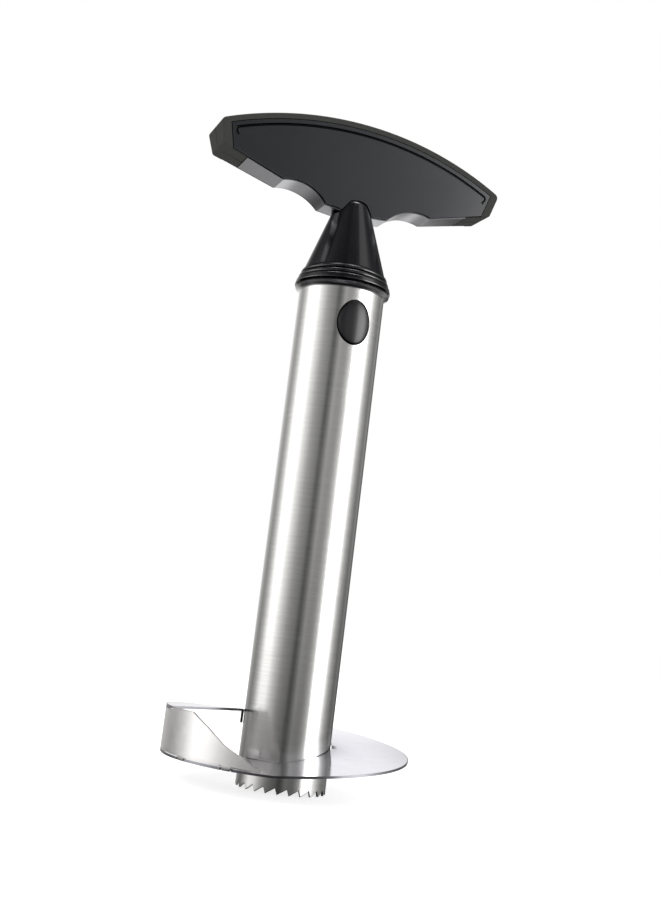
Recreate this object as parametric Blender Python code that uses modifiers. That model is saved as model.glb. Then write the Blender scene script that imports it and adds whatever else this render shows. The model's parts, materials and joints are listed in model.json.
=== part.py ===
"""Pineapple slicer: a toothed coring tube with a spiral blade, driven by a handle that clips into
the tube's mouth. Metres, +Z up. The origin is on the tube's axis at the tips of its teeth, the
handle runs along X, and one of the two release buttons faces -Y."""

import math

import bmesh
import bpy
from mathutils import Matrix, Vector

# Fits and general values
GAP = 0.0003
OVERRUN = 0.0015
WELD = 0.000002
ROUND_STEPS = 56
PLUG_STEPS = 48
BUTTON_STEPS = 40
ROD_STEPS = 32
SMALL_STEPS = 24
SCREW_STEPS = 16
SETTLE_ROUNDS = 20
SHARP_ANGLE = math.radians(32)
BEVEL_ANGLE = math.radians(60)

# Coring tube
TUBE_RADIUS = 0.0160
TUBE_WALL = 0.0008
TUBE_HEIGHT = 0.1829
MOUTH_FLARE = 0.0017
MOUTH_LENGTH = 0.0020
TOOTH_COUNT = 24
TOOTH_DEPTH = 0.00215
TOOTH_BAND = 0.0042
FIRST_TOOTH = math.radians(5.2)
TOOTH_RISE_SHARE = 0.8
TOOTH_STATION_SHARES = (0.0, 0.34, 0.67, 1.0)
FLARE_SHARES = ((0.0, 0.0), (0.45, 0.18), (0.8, 0.58), (1.0, 1.0))

# Spiral blade
BLADE_RADIUS = 0.0437
BLADE_THICKNESS = 0.0008
BLADE_CLEARANCE = 0.0005
BLADE_LOW_Z = 0.0093
BLADE_CLIMB = 0.0156
BLADE_DISH = 0.0008
CLIMB_START = math.radians(245)
CLIMB_FINISH = math.radians(524)
CLIMB_POWER = 1.25
LEAD_AT_RIM = math.radians(153)
LEAD_AT_TUBE = math.radians(191)
END_AT_RIM = math.radians(542)
END_AT_TUBE = math.radians(520.7)
BLADE_COLUMNS = 84
BLADE_ROWS = 3
EDGE_SHARE = 0.25

# Tabs that weld the blade to the tube
TAB_WIDTH = math.radians(7)
TAB_DROP = 0.0026
TAB_RISE = 0.0002
END_TAB_DROP = 0.0046
TAB_ANGLES = (math.radians(209.5), math.radians(336), math.radians(463))

# Upright cutter at the blade's rim
CUTTER_THICKNESS = 0.0007
CUTTER_START = math.radians(152)
CUTTER_STEP = math.radians(183.4)
CUTTER_SHOULDER = math.radians(202)
CUTTER_FINISH = math.radians(240)
CUTTER_SLOPE_SHARES = (
    (0.27, 0.745),
    (0.53, 0.43),
    (0.70, 0.29),
    (0.80, 0.215),
    (0.86, 0.14),
    (1.0, 0.04),
)
CUTTER_COLUMN_ANGLE = math.radians(5)
CUTTER_ROWS = 3
FOOT_ANGLES = (math.radians(197), math.radians(224))
FOOT_HALF_WIDTH = math.radians(2.4)
FOOT_TAPER = math.radians(0.6)
NOTCH_DEPTH = 0.0011

# Collar and cone
COLLAR_LIP = 0.0003
RINGS_HEIGHT = 0.0097
RING_SHARES = (
    (0.83, 0.94, 0.86, 0.77),
    (0.875, 0.69, 0.914, 0.43),
    (0.95, 0.36, 1.0, 0.06),
)
RING_GROOVE = 0.0005
RING_FILLET = 0.0007
RING_STEPS = 2
CONE_FOOT_SHARE = 0.803
CONE_TOP_RADIUS = 0.00797
CONE_NOSE_RADIUS = 0.0046
NOSE_HEIGHT = 0.0056
NOSE_FILLET = 0.0022
HANDLE_LIFT = 0.0284
SPIGOT_SHARE = 0.8
COLLAR_RECESS_DEPTH = 0.0027

# Plug that fits in the tube's mouth
PLUG_LENGTH = 0.0335
PLUG_CHAMFER = 0.0010
PLUG_ROOF = 0.0048
PLUG_CENTRE_WALL = 0.0020
BOLT_HEAD_ROOM = 0.0012
WASHER_ROOM = 0.0006

# Release buttons and their springs
BUTTON_DROP = 0.0152
BUTTON_HALF_WIDTH = 0.00615
BUTTON_HALF_HEIGHT = 0.00815
BUTTON_PROUD = 0.0010
BUTTON_TRAVEL = 0.0030
BUTTON_EDGE = 0.0011
BUTTON_DOME_SHARES = ((0.45, 0.06), (0.75, 0.25), (0.93, 0.6))
BUTTON_LIP = 0.0016
BUTTON_FLANGE = 0.0018
SPRING_RADIUS = 0.0031
SPRING_WIRE = 0.0007
SPRING_TURNS = 6
SPRING_POINTS = 9
SPRING_SOCKET_DEPTH = 0.0040

# Bolt, washer, insert and the screws of the plug
BOLT_RADIUS = 0.0020
BOLT_HEAD_RADIUS = 0.0040
BOLT_HEAD_HEIGHT = 0.0028
WASHER_RADIUS = 0.0046
WASHER_THICKNESS = 0.0008
INSERT_WALL = 0.0010
INSERT_LENGTH = 0.0070
INSERT_END_ROOM = 0.0009
INSERT_GROOVE = 0.00035
INSERT_GROOVE_SHARES = (0.28, 0.34, 0.44, 0.5, 0.78)
SCREW_RADIUS = 0.0015
SCREW_HEAD_RADIUS = 0.0027
SCREW_HEAD_HEIGHT = 0.0020
SCREW_OFFSET = 0.0070
SCREW_RISE = 0.0042
SCREW_REACH = 0.0090
SOCKET_SHARE = 0.45

# Handle: heights are above the middle of its underside
HANDLE_HALF_LENGTH = 0.0576
HANDLE_HEIGHT = 0.0335
END_LOW_RISE = 0.0130
END_HEIGHT = 0.00845
END_LEAN = 0.0023
STRIP_HALF_THICKNESS = 0.00385
TOP_HALF_THICKNESS = 0.00988
UNDERSIDE_RISE = 0.0012
RECESS_INNER_X = 0.0128
RECESS_OUTER_X = 0.0306
RECESS_OUTER_RISE = 0.0060
RECESS_DEPTH = 0.0027
RECESS_STEPS = 10
SEAM_INSET = 0.0122
TOP_STEPS = 15
CORNER_STEPS = 4
CORE_BEVEL = 0.0003
TONGUE_HALF_LENGTH = 0.0055
TONGUE_HALF_THICKNESS = 0.0046
TONGUE_DEPTH = 0.0084
TONGUE_OVERLAP = 0.0010

# Covers of the handle
PANEL_THICKNESS = 0.0009
PANEL_LIFT = 0.0004
PANEL_BEVEL = 0.0002
GROOVE_RADIUS = 0.0005
GROOVE_INSET = 0.0042
GROOVE_HALF_LENGTH = 0.0513
GROOVE_HOOK = 0.0026
GROOVE_HOOK_LEAN = 0.0007

# Soft band round the handle
BAND_TOP = 0.0021
BAND_END = 0.0033
BAND_UNDER = 0.0015
BAND_KEY = 0.0006
BAND_EDGE = 0.0008
BAND_EDGE_STEPS = 3
BAND_TOP_CORNER = 0.0018
BAND_LOW_CORNER = 0.0012
BAND_INNER_CORNER = 0.0005
BAND_LINE_HALF_WIDTH = 0.0006
BAND_LINE_DEPTH = 0.0004

# Places worked out from the sizes above
COLLAR_Z = TUBE_HEIGHT + GAP
COLLAR_RADIUS = TUBE_RADIUS + MOUTH_FLARE + COLLAR_LIP
HANDLE_Z = COLLAR_Z + HANDLE_LIFT
PLUG_RADIUS = TUBE_RADIUS - TUBE_WALL - GAP
PLUG_TOP_Z = COLLAR_Z - GAP
PLUG_ROOF_Z = PLUG_TOP_Z - PLUG_ROOF
BUTTON_Z = TUBE_HEIGHT - BUTTON_DROP
BLADE_INNER = TUBE_RADIUS + BLADE_CLEARANCE
PANEL_OUTER = GAP + PANEL_THICKNESS
TOP_DROP = HANDLE_HEIGHT - END_LOW_RISE - END_HEIGHT
HANDLE_TOP_RADIUS = (HANDLE_HALF_LENGTH**2 + TOP_DROP**2) / (2 * TOP_DROP)
UNDERSIDE_RUN = HANDLE_HALF_LENGTH - END_LEAN - RECESS_OUTER_X
UNDERSIDE_SLOPE = (END_LOW_RISE - RECESS_OUTER_RISE) / UNDERSIDE_RUN
SPIGOT_RADIUS = PLUG_RADIUS * SPIGOT_SHARE
BOLT_HOLE_RADIUS = BOLT_RADIUS + GAP
INSERT_RADIUS = BOLT_HOLE_RADIUS + INSERT_WALL
SPRING_SOCKET_RADIUS = SPRING_RADIUS + SPRING_WIRE / 2 + GAP

PARTS = "pineapple_slicer"
HELPERS = "pineapple_slicer_cutters"


def clear_scene():
    for obj in list(bpy.data.objects):
        bpy.data.objects.remove(obj, do_unlink=True)


def make_collection(name):
    collection = bpy.data.collections.new(name)
    bpy.context.scene.collection.children.link(collection)
    return collection


def material(name, colour, roughness, metallic):
    made = bpy.data.materials.new(name)
    made.use_nodes = True
    shader = made.node_tree.nodes["Principled BSDF"]
    shader.inputs["Base Color"].default_value = (*colour, 1.0)
    shader.inputs["Roughness"].default_value = roughness
    shader.inputs["Metallic"].default_value = metallic
    made.diffuse_color = (*colour, 1.0)
    return made


def from_bmesh(name, bm):
    """An object in the cutters' collection that holds the bmesh."""
    mesh = bpy.data.meshes.new(name)
    bm.to_mesh(mesh)
    bm.free()
    obj = bpy.data.objects.new(name, mesh)
    bpy.data.collections[HELPERS].objects.link(obj)
    obj.hide_render = True
    obj.display_type = "WIRE"
    return obj


def as_part(obj, finish):
    """Moves an object to the parts, with its material and smooth shading."""
    bpy.data.collections[HELPERS].objects.unlink(obj)
    bpy.data.collections[PARTS].objects.link(obj)
    obj.hide_render = False
    obj.display_type = "TEXTURED"
    obj.data.materials.append(finish)
    obj.data.shade_smooth()
    obj.data.set_sharp_from_angle(angle=SHARP_ANGLE)
    return obj


def modify(obj, kind, name, **settings):
    modifier = obj.modifiers.new(name, kind)
    for key, value in settings.items():
        setattr(modifier, key, value)
    return modifier


def cut(obj, *cutters):
    for cutter in cutters:
        modify(obj, "BOOLEAN", "cut_" + cutter.name, operation="DIFFERENCE", object=cutter)


def join(obj, *others):
    for other in others:
        modify(obj, "BOOLEAN", "join_" + other.name, operation="UNION", object=other)


def bevel_edges(obj, width):
    modify(obj, "BEVEL", "edges", width=width, segments=1, limit_method="ANGLE", angle_limit=BEVEL_ANGLE)


def apply_modifiers(obj):
    """Puts what the modifiers make into the object's own mesh."""
    bpy.context.view_layer.update()
    graph = bpy.context.evaluated_depsgraph_get()
    mesh = bpy.data.meshes.new_from_object(obj.evaluated_get(graph))
    obj.modifiers.clear()
    obj.data = mesh
    return obj


def mix(low, high, share):
    return low + (high - low) * share


def polar(radius, angle, z):
    return Vector((radius * math.cos(angle), radius * math.sin(angle), z))


def sheet(name, columns, rows, place):
    """A grid of quads whose corners go where place(column, row share) says."""
    bm = bmesh.new()
    bmesh.ops.create_grid(bm, x_segments=columns, y_segments=rows, size=1.0)
    for vertex in bm.verts:
        column = round((vertex.co.x + 1) / 2 * columns)
        row_share = (vertex.co.y + 1) / 2
        vertex.co = place(column, row_share)
    bmesh.ops.remove_doubles(bm, verts=bm.verts, dist=WELD)
    return from_bmesh(name, bm)


def turned(name, profile, steps=ROUND_STEPS, closed=False):
    """A profile of (radius, z) turned about Z. Its outer side runs from top to bottom."""
    bm = bmesh.new()
    points = [bm.verts.new((radius, 0, z)) for radius, z in profile]
    for first, second in zip(points, points[1:]):
        bm.edges.new((first, second))
    if closed:
        bm.edges.new((points[-1], points[0]))
    obj = from_bmesh(name, bm)
    modify(
        obj,
        "SCREW",
        "turn",
        axis="Z",
        steps=steps,
        render_steps=steps,
        use_merge_vertices=True,
        merge_threshold=WELD,
    )
    return obj


def rounded_path(corners, steps=CORNER_STEPS):
    """The path through corners of (x, z, fillet radius), each with a radius made an arc."""
    path = []
    for index, (x, z, radius) in enumerate(corners):
        here = Vector((x, z))
        if not radius:
            path.append(here)
            continue
        to_last = (Vector(corners[index - 1][:2]) - here).normalized()
        to_next = (Vector(corners[index + 1][:2]) - here).normalized()
        half = to_last.angle(to_next) / 2
        centre = here + (to_last + to_next).normalized() * radius / math.sin(half)
        start = here + to_last * radius / math.tan(half) - centre
        finish = here + to_next * radius / math.tan(half) - centre
        for step in range(steps + 1):
            path.append(centre + start.lerp(finish, step / steps).normalized() * radius)
    return path


def box(name, low, high):
    """A box between two corners."""
    bm = bmesh.new()
    size = Vector(high) - Vector(low)
    middle = (Vector(high) + Vector(low)) / 2
    stretch = Matrix.Diagonal((*size, 1))
    bmesh.ops.create_cube(bm, size=1.0, matrix=Matrix.Translation(middle) @ stretch)
    return from_bmesh(name, bm)


def rod(name, start, finish, radius, radius_across=None, segments=ROD_STEPS):
    """A cylinder from start to finish; with radius_across it is oval, radius being its height."""
    bm = bmesh.new()
    start, finish = Vector(start), Vector(finish)
    turn = (finish - start).to_track_quat("Z", "X").to_matrix().to_4x4()
    stretch = Matrix.Diagonal((radius, radius_across or radius, (finish - start).length, 1))
    bmesh.ops.create_cone(
        bm,
        cap_ends=True,
        segments=segments,
        radius1=1.0,
        radius2=1.0,
        depth=1.0,
        matrix=Matrix.Translation((start + finish) / 2) @ turn @ stretch,
    )
    return from_bmesh(name, bm)


def tube_place(column, row_share):
    """A point of the tube's outside: teeth at the foot and a flare at the mouth."""
    stations = len(TOOTH_STATION_SHARES)
    tooth, station = divmod(column, stations)
    rise_share = TOOTH_STATION_SHARES[station]
    angle = FIRST_TOOTH + (tooth + TOOTH_RISE_SHARE * rise_share) * math.tau / TOOTH_COUNT
    row = round(row_share * tube_rows())
    if row == 0:
        return polar(TUBE_RADIUS, angle, TOOTH_DEPTH * rise_share)
    if row == 1:
        return polar(TUBE_RADIUS, angle, TOOTH_BAND)
    height_share, radius_share = FLARE_SHARES[row - 2]
    z = TUBE_HEIGHT - TUBE_WALL - MOUTH_LENGTH * (1 - height_share)
    return polar(TUBE_RADIUS + MOUTH_FLARE * radius_share, angle, z)


def tube_rows():
    return len(FLARE_SHARES) + 1


def button_opening(name, clearance, start, finish):
    """An oval cutter along Y for the buttons, from one y to another."""
    return rod(
        name,
        (0, start, BUTTON_Z),
        (0, finish, BUTTON_Z),
        BUTTON_HALF_HEIGHT + clearance,
        BUTTON_HALF_WIDTH + clearance,
        segments=BUTTON_STEPS,
    )


def make_tube(steel):
    columns = TOOTH_COUNT * len(TOOTH_STATION_SHARES)
    tube = sheet("tube", columns, tube_rows(), tube_place)
    modify(tube, "SOLIDIFY", "wall", thickness=TUBE_WALL, offset=-1, use_even_offset=True)
    reach = TUBE_RADIUS + OVERRUN
    cut(tube, button_opening("tube_button_holes", GAP, -reach, reach))
    return as_part(tube, steel)


def blade_z(angle):
    """Height of the blade's rim at an angle counted from its lower lead."""
    share = (angle - CLIMB_START) / (CLIMB_FINISH - CLIMB_START)
    share = min(max(share, 0.0), 1.0)
    return BLADE_LOW_Z + BLADE_CLIMB * (1 - (1 - share) ** CLIMB_POWER)


def straight_edge(tube_angle, rim_angle, share):
    """(radius, angle) at a share of the straight line from the tube to the rim."""
    point = polar(BLADE_INNER, tube_angle, 0).lerp(polar(BLADE_RADIUS, rim_angle, 0), share)
    turn = point.xy.angle_signed(polar(1, tube_angle, 0).xy)
    return point.length, tube_angle + turn


def blade_place(column, row_share):
    """A point of the blade's middle surface; row share 0 is at the tube and 1 at the rim."""
    lead_radius, lead_angle = straight_edge(LEAD_AT_TUBE, LEAD_AT_RIM, row_share)
    end_radius, end_angle = straight_edge(END_AT_TUBE, END_AT_RIM, row_share)
    share = column / BLADE_COLUMNS
    angle = mix(lead_angle, end_angle, share)
    radius = mix(lead_radius, end_radius, share)
    return polar(radius, angle, blade_z(angle) + BLADE_DISH * (1 - row_share))


def thin_edge(obj, on_edge):
    """A vertex group that thins the wall to a cutting edge where on_edge(point) is true."""
    group = obj.vertex_groups.new(name="full_thickness")
    for vertex in obj.data.vertices:
        weight = EDGE_SHARE if on_edge(vertex.co) else 1.0
        group.add([vertex.index], weight, "REPLACE")
    return group.name


def make_tab(name, angle, drop):
    """A tab of the blade that lies on the tube and hangs down from the blade's inner edge."""
    top = blade_z(angle) + BLADE_DISH + TAB_RISE
    columns = 3

    def place(column, row_share):
        turn = TAB_WIDTH * (column / columns - 1 / 2)
        return polar(TUBE_RADIUS + GAP, angle + turn, mix(top - drop, top, row_share))

    tab = sheet(name, columns, 1, place)
    modify(tab, "SOLIDIFY", "wall", thickness=BLADE_THICKNESS, offset=1)
    return tab


def make_notch(angle):
    """A cutter for the notch in the blade's rim that a foot of the rim cutter drops into."""
    half = BLADE_RADIUS * math.tan(FOOT_HALF_WIDTH) + GAP
    low = (BLADE_RADIUS - NOTCH_DEPTH, -half, BLADE_LOW_Z - OVERRUN)
    high = (BLADE_RADIUS + OVERRUN, half, BLADE_LOW_Z + OVERRUN)
    notch = box(f"rim_notch_{math.degrees(angle):.0f}", low, high)
    notch.rotation_euler.z = angle
    return notch


def make_blade(steel):
    blade = sheet("spiral_blade", BLADE_COLUMNS, BLADE_ROWS, blade_place)
    lead = [blade_place(0, row / BLADE_ROWS) for row in range(BLADE_ROWS + 1)]
    group = thin_edge(blade, lambda point: min((point - place).length for place in lead) < WELD)
    modify(
        blade,
        "SOLIDIFY",
        "wall",
        thickness=BLADE_THICKNESS,
        offset=0,
        vertex_group=group,
        thickness_vertex_group=0.0,
    )
    tabs = [make_tab(f"tab_{index}", angle, TAB_DROP) for index, angle in enumerate(TAB_ANGLES)]
    tabs.append(make_tab("tab_end", END_AT_TUBE - TAB_WIDTH / 2, END_TAB_DROP))
    join(blade, *tabs)
    cut(blade, *[make_notch(angle) for angle in FOOT_ANGLES])
    return as_part(blade, steel)


def cutter_stations():
    """(angle, bottom z, top z) along the upright cutter, from its cutting edge to its tail."""
    rest = BLADE_LOW_Z + BLADE_THICKNESS / 2 + GAP
    foot = BLADE_LOW_Z - BLADE_THICKNESS / 2
    under_end = BLADE_LOW_Z + BLADE_CLIMB - BLADE_THICKNESS / 2 - GAP
    beyond_end = BLADE_LOW_Z + BLADE_CLIMB + BLADE_THICKNESS / 2
    slope = [(CUTTER_START, under_end), (CUTTER_STEP - FOOT_TAPER, under_end)]
    slope += [(CUTTER_STEP, beyond_end), (CUTTER_SHOULDER, beyond_end)]
    for angle_share, height_share in CUTTER_SLOPE_SHARES:
        angle = mix(CUTTER_SHOULDER, CUTTER_FINISH, angle_share)
        slope.append((angle, mix(rest, beyond_end, height_share)))
    angles = {angle for angle, _ in slope}
    feet = []
    for angle in FOOT_ANGLES:
        inner = FOOT_HALF_WIDTH - FOOT_TAPER
        feet += [angle - FOOT_HALF_WIDTH, angle - inner, angle + inner, angle + FOOT_HALF_WIDTH]
    count = math.ceil((CUTTER_FINISH - CUTTER_START) / CUTTER_COLUMN_ANGLE)
    marks = sorted(angles | set(feet))
    for step in range(count):
        angle = mix(CUTTER_START, CUTTER_FINISH, step / count)
        if min(abs(angle - mark) for mark in marks) > FOOT_TAPER * 2:
            marks.append(angle)
    stations = []
    for angle in sorted(marks):
        in_foot = any(abs(angle - middle) < FOOT_HALF_WIDTH - FOOT_TAPER / 2 for middle in FOOT_ANGLES)
        stations.append((angle, foot if in_foot else rest, height_at(slope, angle)))
    return stations


def height_at(slope, angle):
    """The height at an angle of a line through (angle, height) points."""
    for (first, low), (second, high) in zip(slope, slope[1:]):
        if angle <= second:
            return mix(low, high, (angle - first) / (second - first))
    return slope[-1][1]


def make_rim_cutter(steel):
    stations = cutter_stations()
    radius = BLADE_RADIUS - CUTTER_THICKNESS

    def place(column, row_share):
        angle, bottom, top = stations[column]
        return polar(radius, angle, mix(bottom, top, row_share))

    cutter = sheet("rim_cutter", len(stations) - 1, CUTTER_ROWS, place)
    edge = polar(radius, CUTTER_START, 0)
    group = thin_edge(cutter, lambda point: (point.xy - edge.xy).length < WELD)
    modify(
        cutter,
        "SOLIDIFY",
        "wall",
        thickness=CUTTER_THICKNESS,
        offset=1,
        vertex_group=group,
        thickness_vertex_group=0.0,
    )
    return as_part(cutter, steel)


def collar_profile(grow=0.0):
    """The collar's outer side from its nose down to its foot, grown sideways by grow."""
    top = HANDLE_Z + NOSE_HEIGHT + grow
    nose_share = NOSE_HEIGHT / HANDLE_LIFT
    nose_radius = mix(CONE_TOP_RADIUS, CONE_NOSE_RADIUS, nose_share)
    corners = [(0, top, 0), (nose_radius + grow, top, NOSE_FILLET)]
    corners.append((COLLAR_RADIUS * CONE_FOOT_SHARE + grow, COLLAR_Z + RINGS_HEIGHT, 0))
    for top_radius, top_height, low_radius, low_height in RING_SHARES:
        groove = COLLAR_RADIUS * top_radius - RING_GROOVE + grow
        edge = COLLAR_Z + RINGS_HEIGHT * top_height
        corners.append((groove, edge + RING_GROOVE, 0))
        corners.append((COLLAR_RADIUS * top_radius + grow, edge, RING_FILLET))
        low = COLLAR_Z + RINGS_HEIGHT * low_height
        corners.append((COLLAR_RADIUS * low_radius + grow, low, RING_FILLET))
    corners.append((COLLAR_RADIUS + grow, COLLAR_Z, 0))
    return rounded_path(corners, RING_STEPS)


def wedge_half(z):
    """Half the handle's thickness at a height: it widens from its underside to its top."""
    share = (z - HANDLE_Z) / HANDLE_HEIGHT
    return mix(STRIP_HALF_THICKNESS, TOP_HALF_THICKNESS, share)


def wedge(name, outline, front, back):
    """An XZ outline made solid between two faces of the handle's wedge. front and back are
    (side, offset): side is the sign of the wedge's half thickness and offset is added along Y."""
    data = bpy.data.curves.new(name, "CURVE")
    data.dimensions = "2D"
    data.fill_mode = "BOTH"
    data.extrude = STRIP_HALF_THICKNESS
    spline = data.splines.new("POLY")
    spline.points.add(len(outline) - 1)
    for point, (x, z) in zip(spline.points, outline):
        point.co = (x, z, 0, 1)
    spline.use_cyclic_u = True
    curve = bpy.data.objects.new(name + "_outline", data)
    bpy.context.scene.collection.objects.link(curve)
    bpy.context.view_layer.update()
    graph = bpy.context.evaluated_depsgraph_get()
    mesh = bpy.data.meshes.new_from_object(curve.evaluated_get(graph))
    bpy.data.objects.remove(curve, do_unlink=True)
    bm = bmesh.new()
    bm.from_mesh(mesh)
    bmesh.ops.remove_doubles(bm, verts=bm.verts, dist=WELD)
    bmesh.ops.dissolve_limit(bm, angle_limit=WELD, verts=bm.verts, edges=bm.edges)
    for vertex in bm.verts:
        x, z, y = vertex.co
        side, offset = front if y > 0 else back
        vertex.co = (x, side * wedge_half(z) + offset, z)
    bmesh.ops.recalc_face_normals(bm, faces=bm.faces)
    if bm.calc_volume(signed=True) < 0:
        bmesh.ops.reverse_faces(bm, faces=bm.faces)
    return from_bmesh(name, bm)


def recess_arc():
    """The finger recess in the underside, from its inner to its outer corner."""
    inner = Vector((RECESS_INNER_X, HANDLE_Z + UNDERSIDE_RISE))
    outer = Vector((RECESS_OUTER_X, HANDLE_Z + RECESS_OUTER_RISE))
    half_chord = (outer - inner).length / 2
    radius = (half_chord**2 + RECESS_DEPTH**2) / (2 * RECESS_DEPTH)
    across = (outer - inner).normalized()
    centre = (inner + outer) / 2 + Vector((across.y, -across.x)) * (radius - RECESS_DEPTH)
    points = []
    for step in range(RECESS_STEPS + 1):
        arm = (inner - centre).lerp(outer - centre, step / RECESS_STEPS)
        points.append(centre + arm.normalized() * radius)
    return points


def underside_z(x):
    """Height of the straight stretch of the underside beyond the recess."""
    return HANDLE_Z + RECESS_OUTER_RISE + UNDERSIDE_SLOPE * (x - RECESS_OUTER_X)


def top_z(x, inset=0.0):
    """Height of the top arc, or of one that lies inset inside it."""
    centre = HANDLE_Z + HANDLE_HEIGHT - HANDLE_TOP_RADIUS
    return centre + math.sqrt((HANDLE_TOP_RADIUS - inset) ** 2 - x**2)


def end_x(z, inset=0.0):
    """X of the handle's leaning end at a height, or of a line that lies inset inside it."""
    low_z = underside_z(HANDLE_HALF_LENGTH - END_LEAN)
    high_z = top_z(HANDLE_HALF_LENGTH)
    lean = END_LEAN / (high_z - low_z)
    return HANDLE_HALF_LENGTH + lean * (z - high_z) - inset * math.hypot(1, lean)


def end_corner(height_at_x, inset):
    """Where the line at inset inside the handle's end meets the line z = height_at_x(x)."""
    x = HANDLE_HALF_LENGTH - inset
    for _ in range(SETTLE_ROUNDS):
        x = end_x(height_at_x(x), inset)
    return Vector((x, height_at_x(x)))


def top_arc(corner, inset):
    """Points of the top arc from next to a corner to the middle, the corner itself left out."""
    xs = [corner.x * (1 - step / TOP_STEPS) for step in range(1, TOP_STEPS + 1)]
    return [Vector((x, top_z(x, inset))) for x in xs]


def mirrored(right_half):
    """The whole outline from its right half, which runs from the middle below to the top."""
    left_half = [Vector((-x, z)) for x, z in reversed(right_half) if x > WELD]
    return list(right_half) + left_half


def core_outline():
    """Outline of the core: the visible underside, a step for the band, then inside its key."""
    seam_x = HANDLE_HALF_LENGTH - SEAM_INSET
    step = BAND_UNDER + GAP
    end_inset = BAND_END + BAND_KEY + GAP
    top_inset = BAND_TOP + BAND_KEY + GAP
    low = end_corner(lambda x: underside_z(x) + step, end_inset)
    high = end_corner(lambda x: top_z(x, top_inset), end_inset)
    half = [Vector((0, HANDLE_Z))] + recess_arc()
    half += [Vector((seam_x, underside_z(seam_x))), Vector((seam_x, underside_z(seam_x) + step))]
    half += [low, high] + top_arc(high, top_inset)
    return mirrored(half)


def panel_outline():
    """Outline of a cover: a little above the underside, and inside the band above."""
    low = end_corner(lambda x: underside_z(x) + PANEL_LIFT, BAND_END + GAP)
    high = end_corner(lambda x: top_z(x, BAND_TOP + GAP), BAND_END + GAP)
    half = [Vector((0, HANDLE_Z))] + recess_arc()
    half = [Vector((x, z + PANEL_LIFT)) for x, z in half]
    half += [low, high] + top_arc(high, BAND_TOP + GAP)
    return mirrored(half)


def make_core(silver):
    core = wedge("handle_core", core_outline(), (1, 0), (-1, 0))
    bevel_edges(core, CORE_BEVEL)
    low = (-TONGUE_HALF_LENGTH, -TONGUE_HALF_THICKNESS, HANDLE_Z - TONGUE_DEPTH)
    high = (TONGUE_HALF_LENGTH, TONGUE_HALF_THICKNESS, HANDLE_Z + TONGUE_OVERLAP)
    join(core, box("tongue", low, high))
    start = (0, 0, HANDLE_Z - TONGUE_DEPTH - OVERRUN)
    finish = (0, 0, HANDLE_Z - TONGUE_DEPTH + INSERT_LENGTH + INSERT_END_ROOM)
    cut(core, rod("insert_bore", start, finish, INSERT_RADIUS + GAP))
    return as_part(core, silver)


def make_collar(gloss):
    """The turned collar with a recess for the plug and a slot for the handle."""
    recess_radius = SPIGOT_RADIUS + GAP
    roof = COLLAR_Z + COLLAR_RECESS_DEPTH
    profile = collar_profile()
    profile += [Vector((recess_radius, COLLAR_Z)), Vector((recess_radius, roof)), Vector((0, roof))]
    collar = turned("cone_collar", profile)
    reach = CONE_TOP_RADIUS + OVERRUN
    bottom = HANDLE_Z - GAP
    top = HANDLE_Z + NOSE_HEIGHT + OVERRUN
    outline = [(-reach, bottom), (reach, bottom), (reach, top), (-reach, top)]
    slot = wedge("handle_slot", outline, (1, GAP), (-1, -GAP))
    low = (
        -TONGUE_HALF_LENGTH - GAP,
        -TONGUE_HALF_THICKNESS - GAP,
        HANDLE_Z - TONGUE_DEPTH - GAP,
    )
    high = (
        TONGUE_HALF_LENGTH + GAP,
        TONGUE_HALF_THICKNESS + GAP,
        HANDLE_Z + TONGUE_OVERLAP + GAP,
    )
    start = (0, 0, COLLAR_Z)
    bore = rod("bolt_bore", start, (0, 0, HANDLE_Z), BOLT_HOLE_RADIUS)
    cut(collar, slot, box("tongue_pocket", low, high), bore)
    return as_part(collar, gloss)


def make_panel(name, side, charcoal):
    """A cover on one side of the core: side -1 is the front."""
    panel = wedge(name, panel_outline(), (side, side * GAP), (side, side * PANEL_OUTER))
    bevel_edges(panel, PANEL_BEVEL)
    arch = turned(name + "_arch", collar_profile(GAP) + [Vector((0, COLLAR_Z))])
    cut(panel, arch, make_groove(name + "_groove", side))
    return as_part(panel, charcoal)


def make_groove(name, side):
    """A round-bottomed groove below the cover's top edge, with its ends hooked down."""
    half = []
    for step in range(TOP_STEPS + 1):
        x = GROOVE_HALF_LENGTH * step / TOP_STEPS
        half.append((x, top_z(x, GROOVE_INSET)))
    end_z = half[-1][1]
    half.append((GROOVE_HALF_LENGTH + GROOVE_HOOK_LEAN / 2, end_z - GROOVE_HOOK / 3))
    half.append((GROOVE_HALF_LENGTH - GROOVE_HOOK_LEAN, end_z - GROOVE_HOOK))
    path = [(-x, z) for x, z in reversed(half[1:])] + half
    points = [(x, side * (wedge_half(z) + PANEL_OUTER), z) for x, z in path]
    return wire(name, points, GROOVE_RADIUS, resolution=1)


def wire(name, points, radius, resolution):
    """A round wire through the points, as a closed mesh."""
    data = bpy.data.curves.new(name, "CURVE")
    data.dimensions = "3D"
    data.bevel_depth = radius
    data.bevel_resolution = resolution
    data.use_fill_caps = True
    spline = data.splines.new("POLY")
    spline.points.add(len(points) - 1)
    for point, place in zip(spline.points, points):
        point.co = (*place, 1)
    curve = bpy.data.objects.new(name + "_path", data)
    bpy.context.scene.collection.objects.link(curve)
    bpy.context.view_layer.update()
    graph = bpy.context.evaluated_depsgraph_get()
    mesh = bpy.data.meshes.new_from_object(curve.evaluated_get(graph))
    bpy.data.objects.remove(curve, do_unlink=True)
    bm = bmesh.new()
    bm.from_mesh(mesh)
    bmesh.ops.remove_doubles(bm, verts=bm.verts, dist=WELD)
    bmesh.ops.recalc_face_normals(bm, faces=bm.faces)
    return from_bmesh(name, bm)


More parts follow.
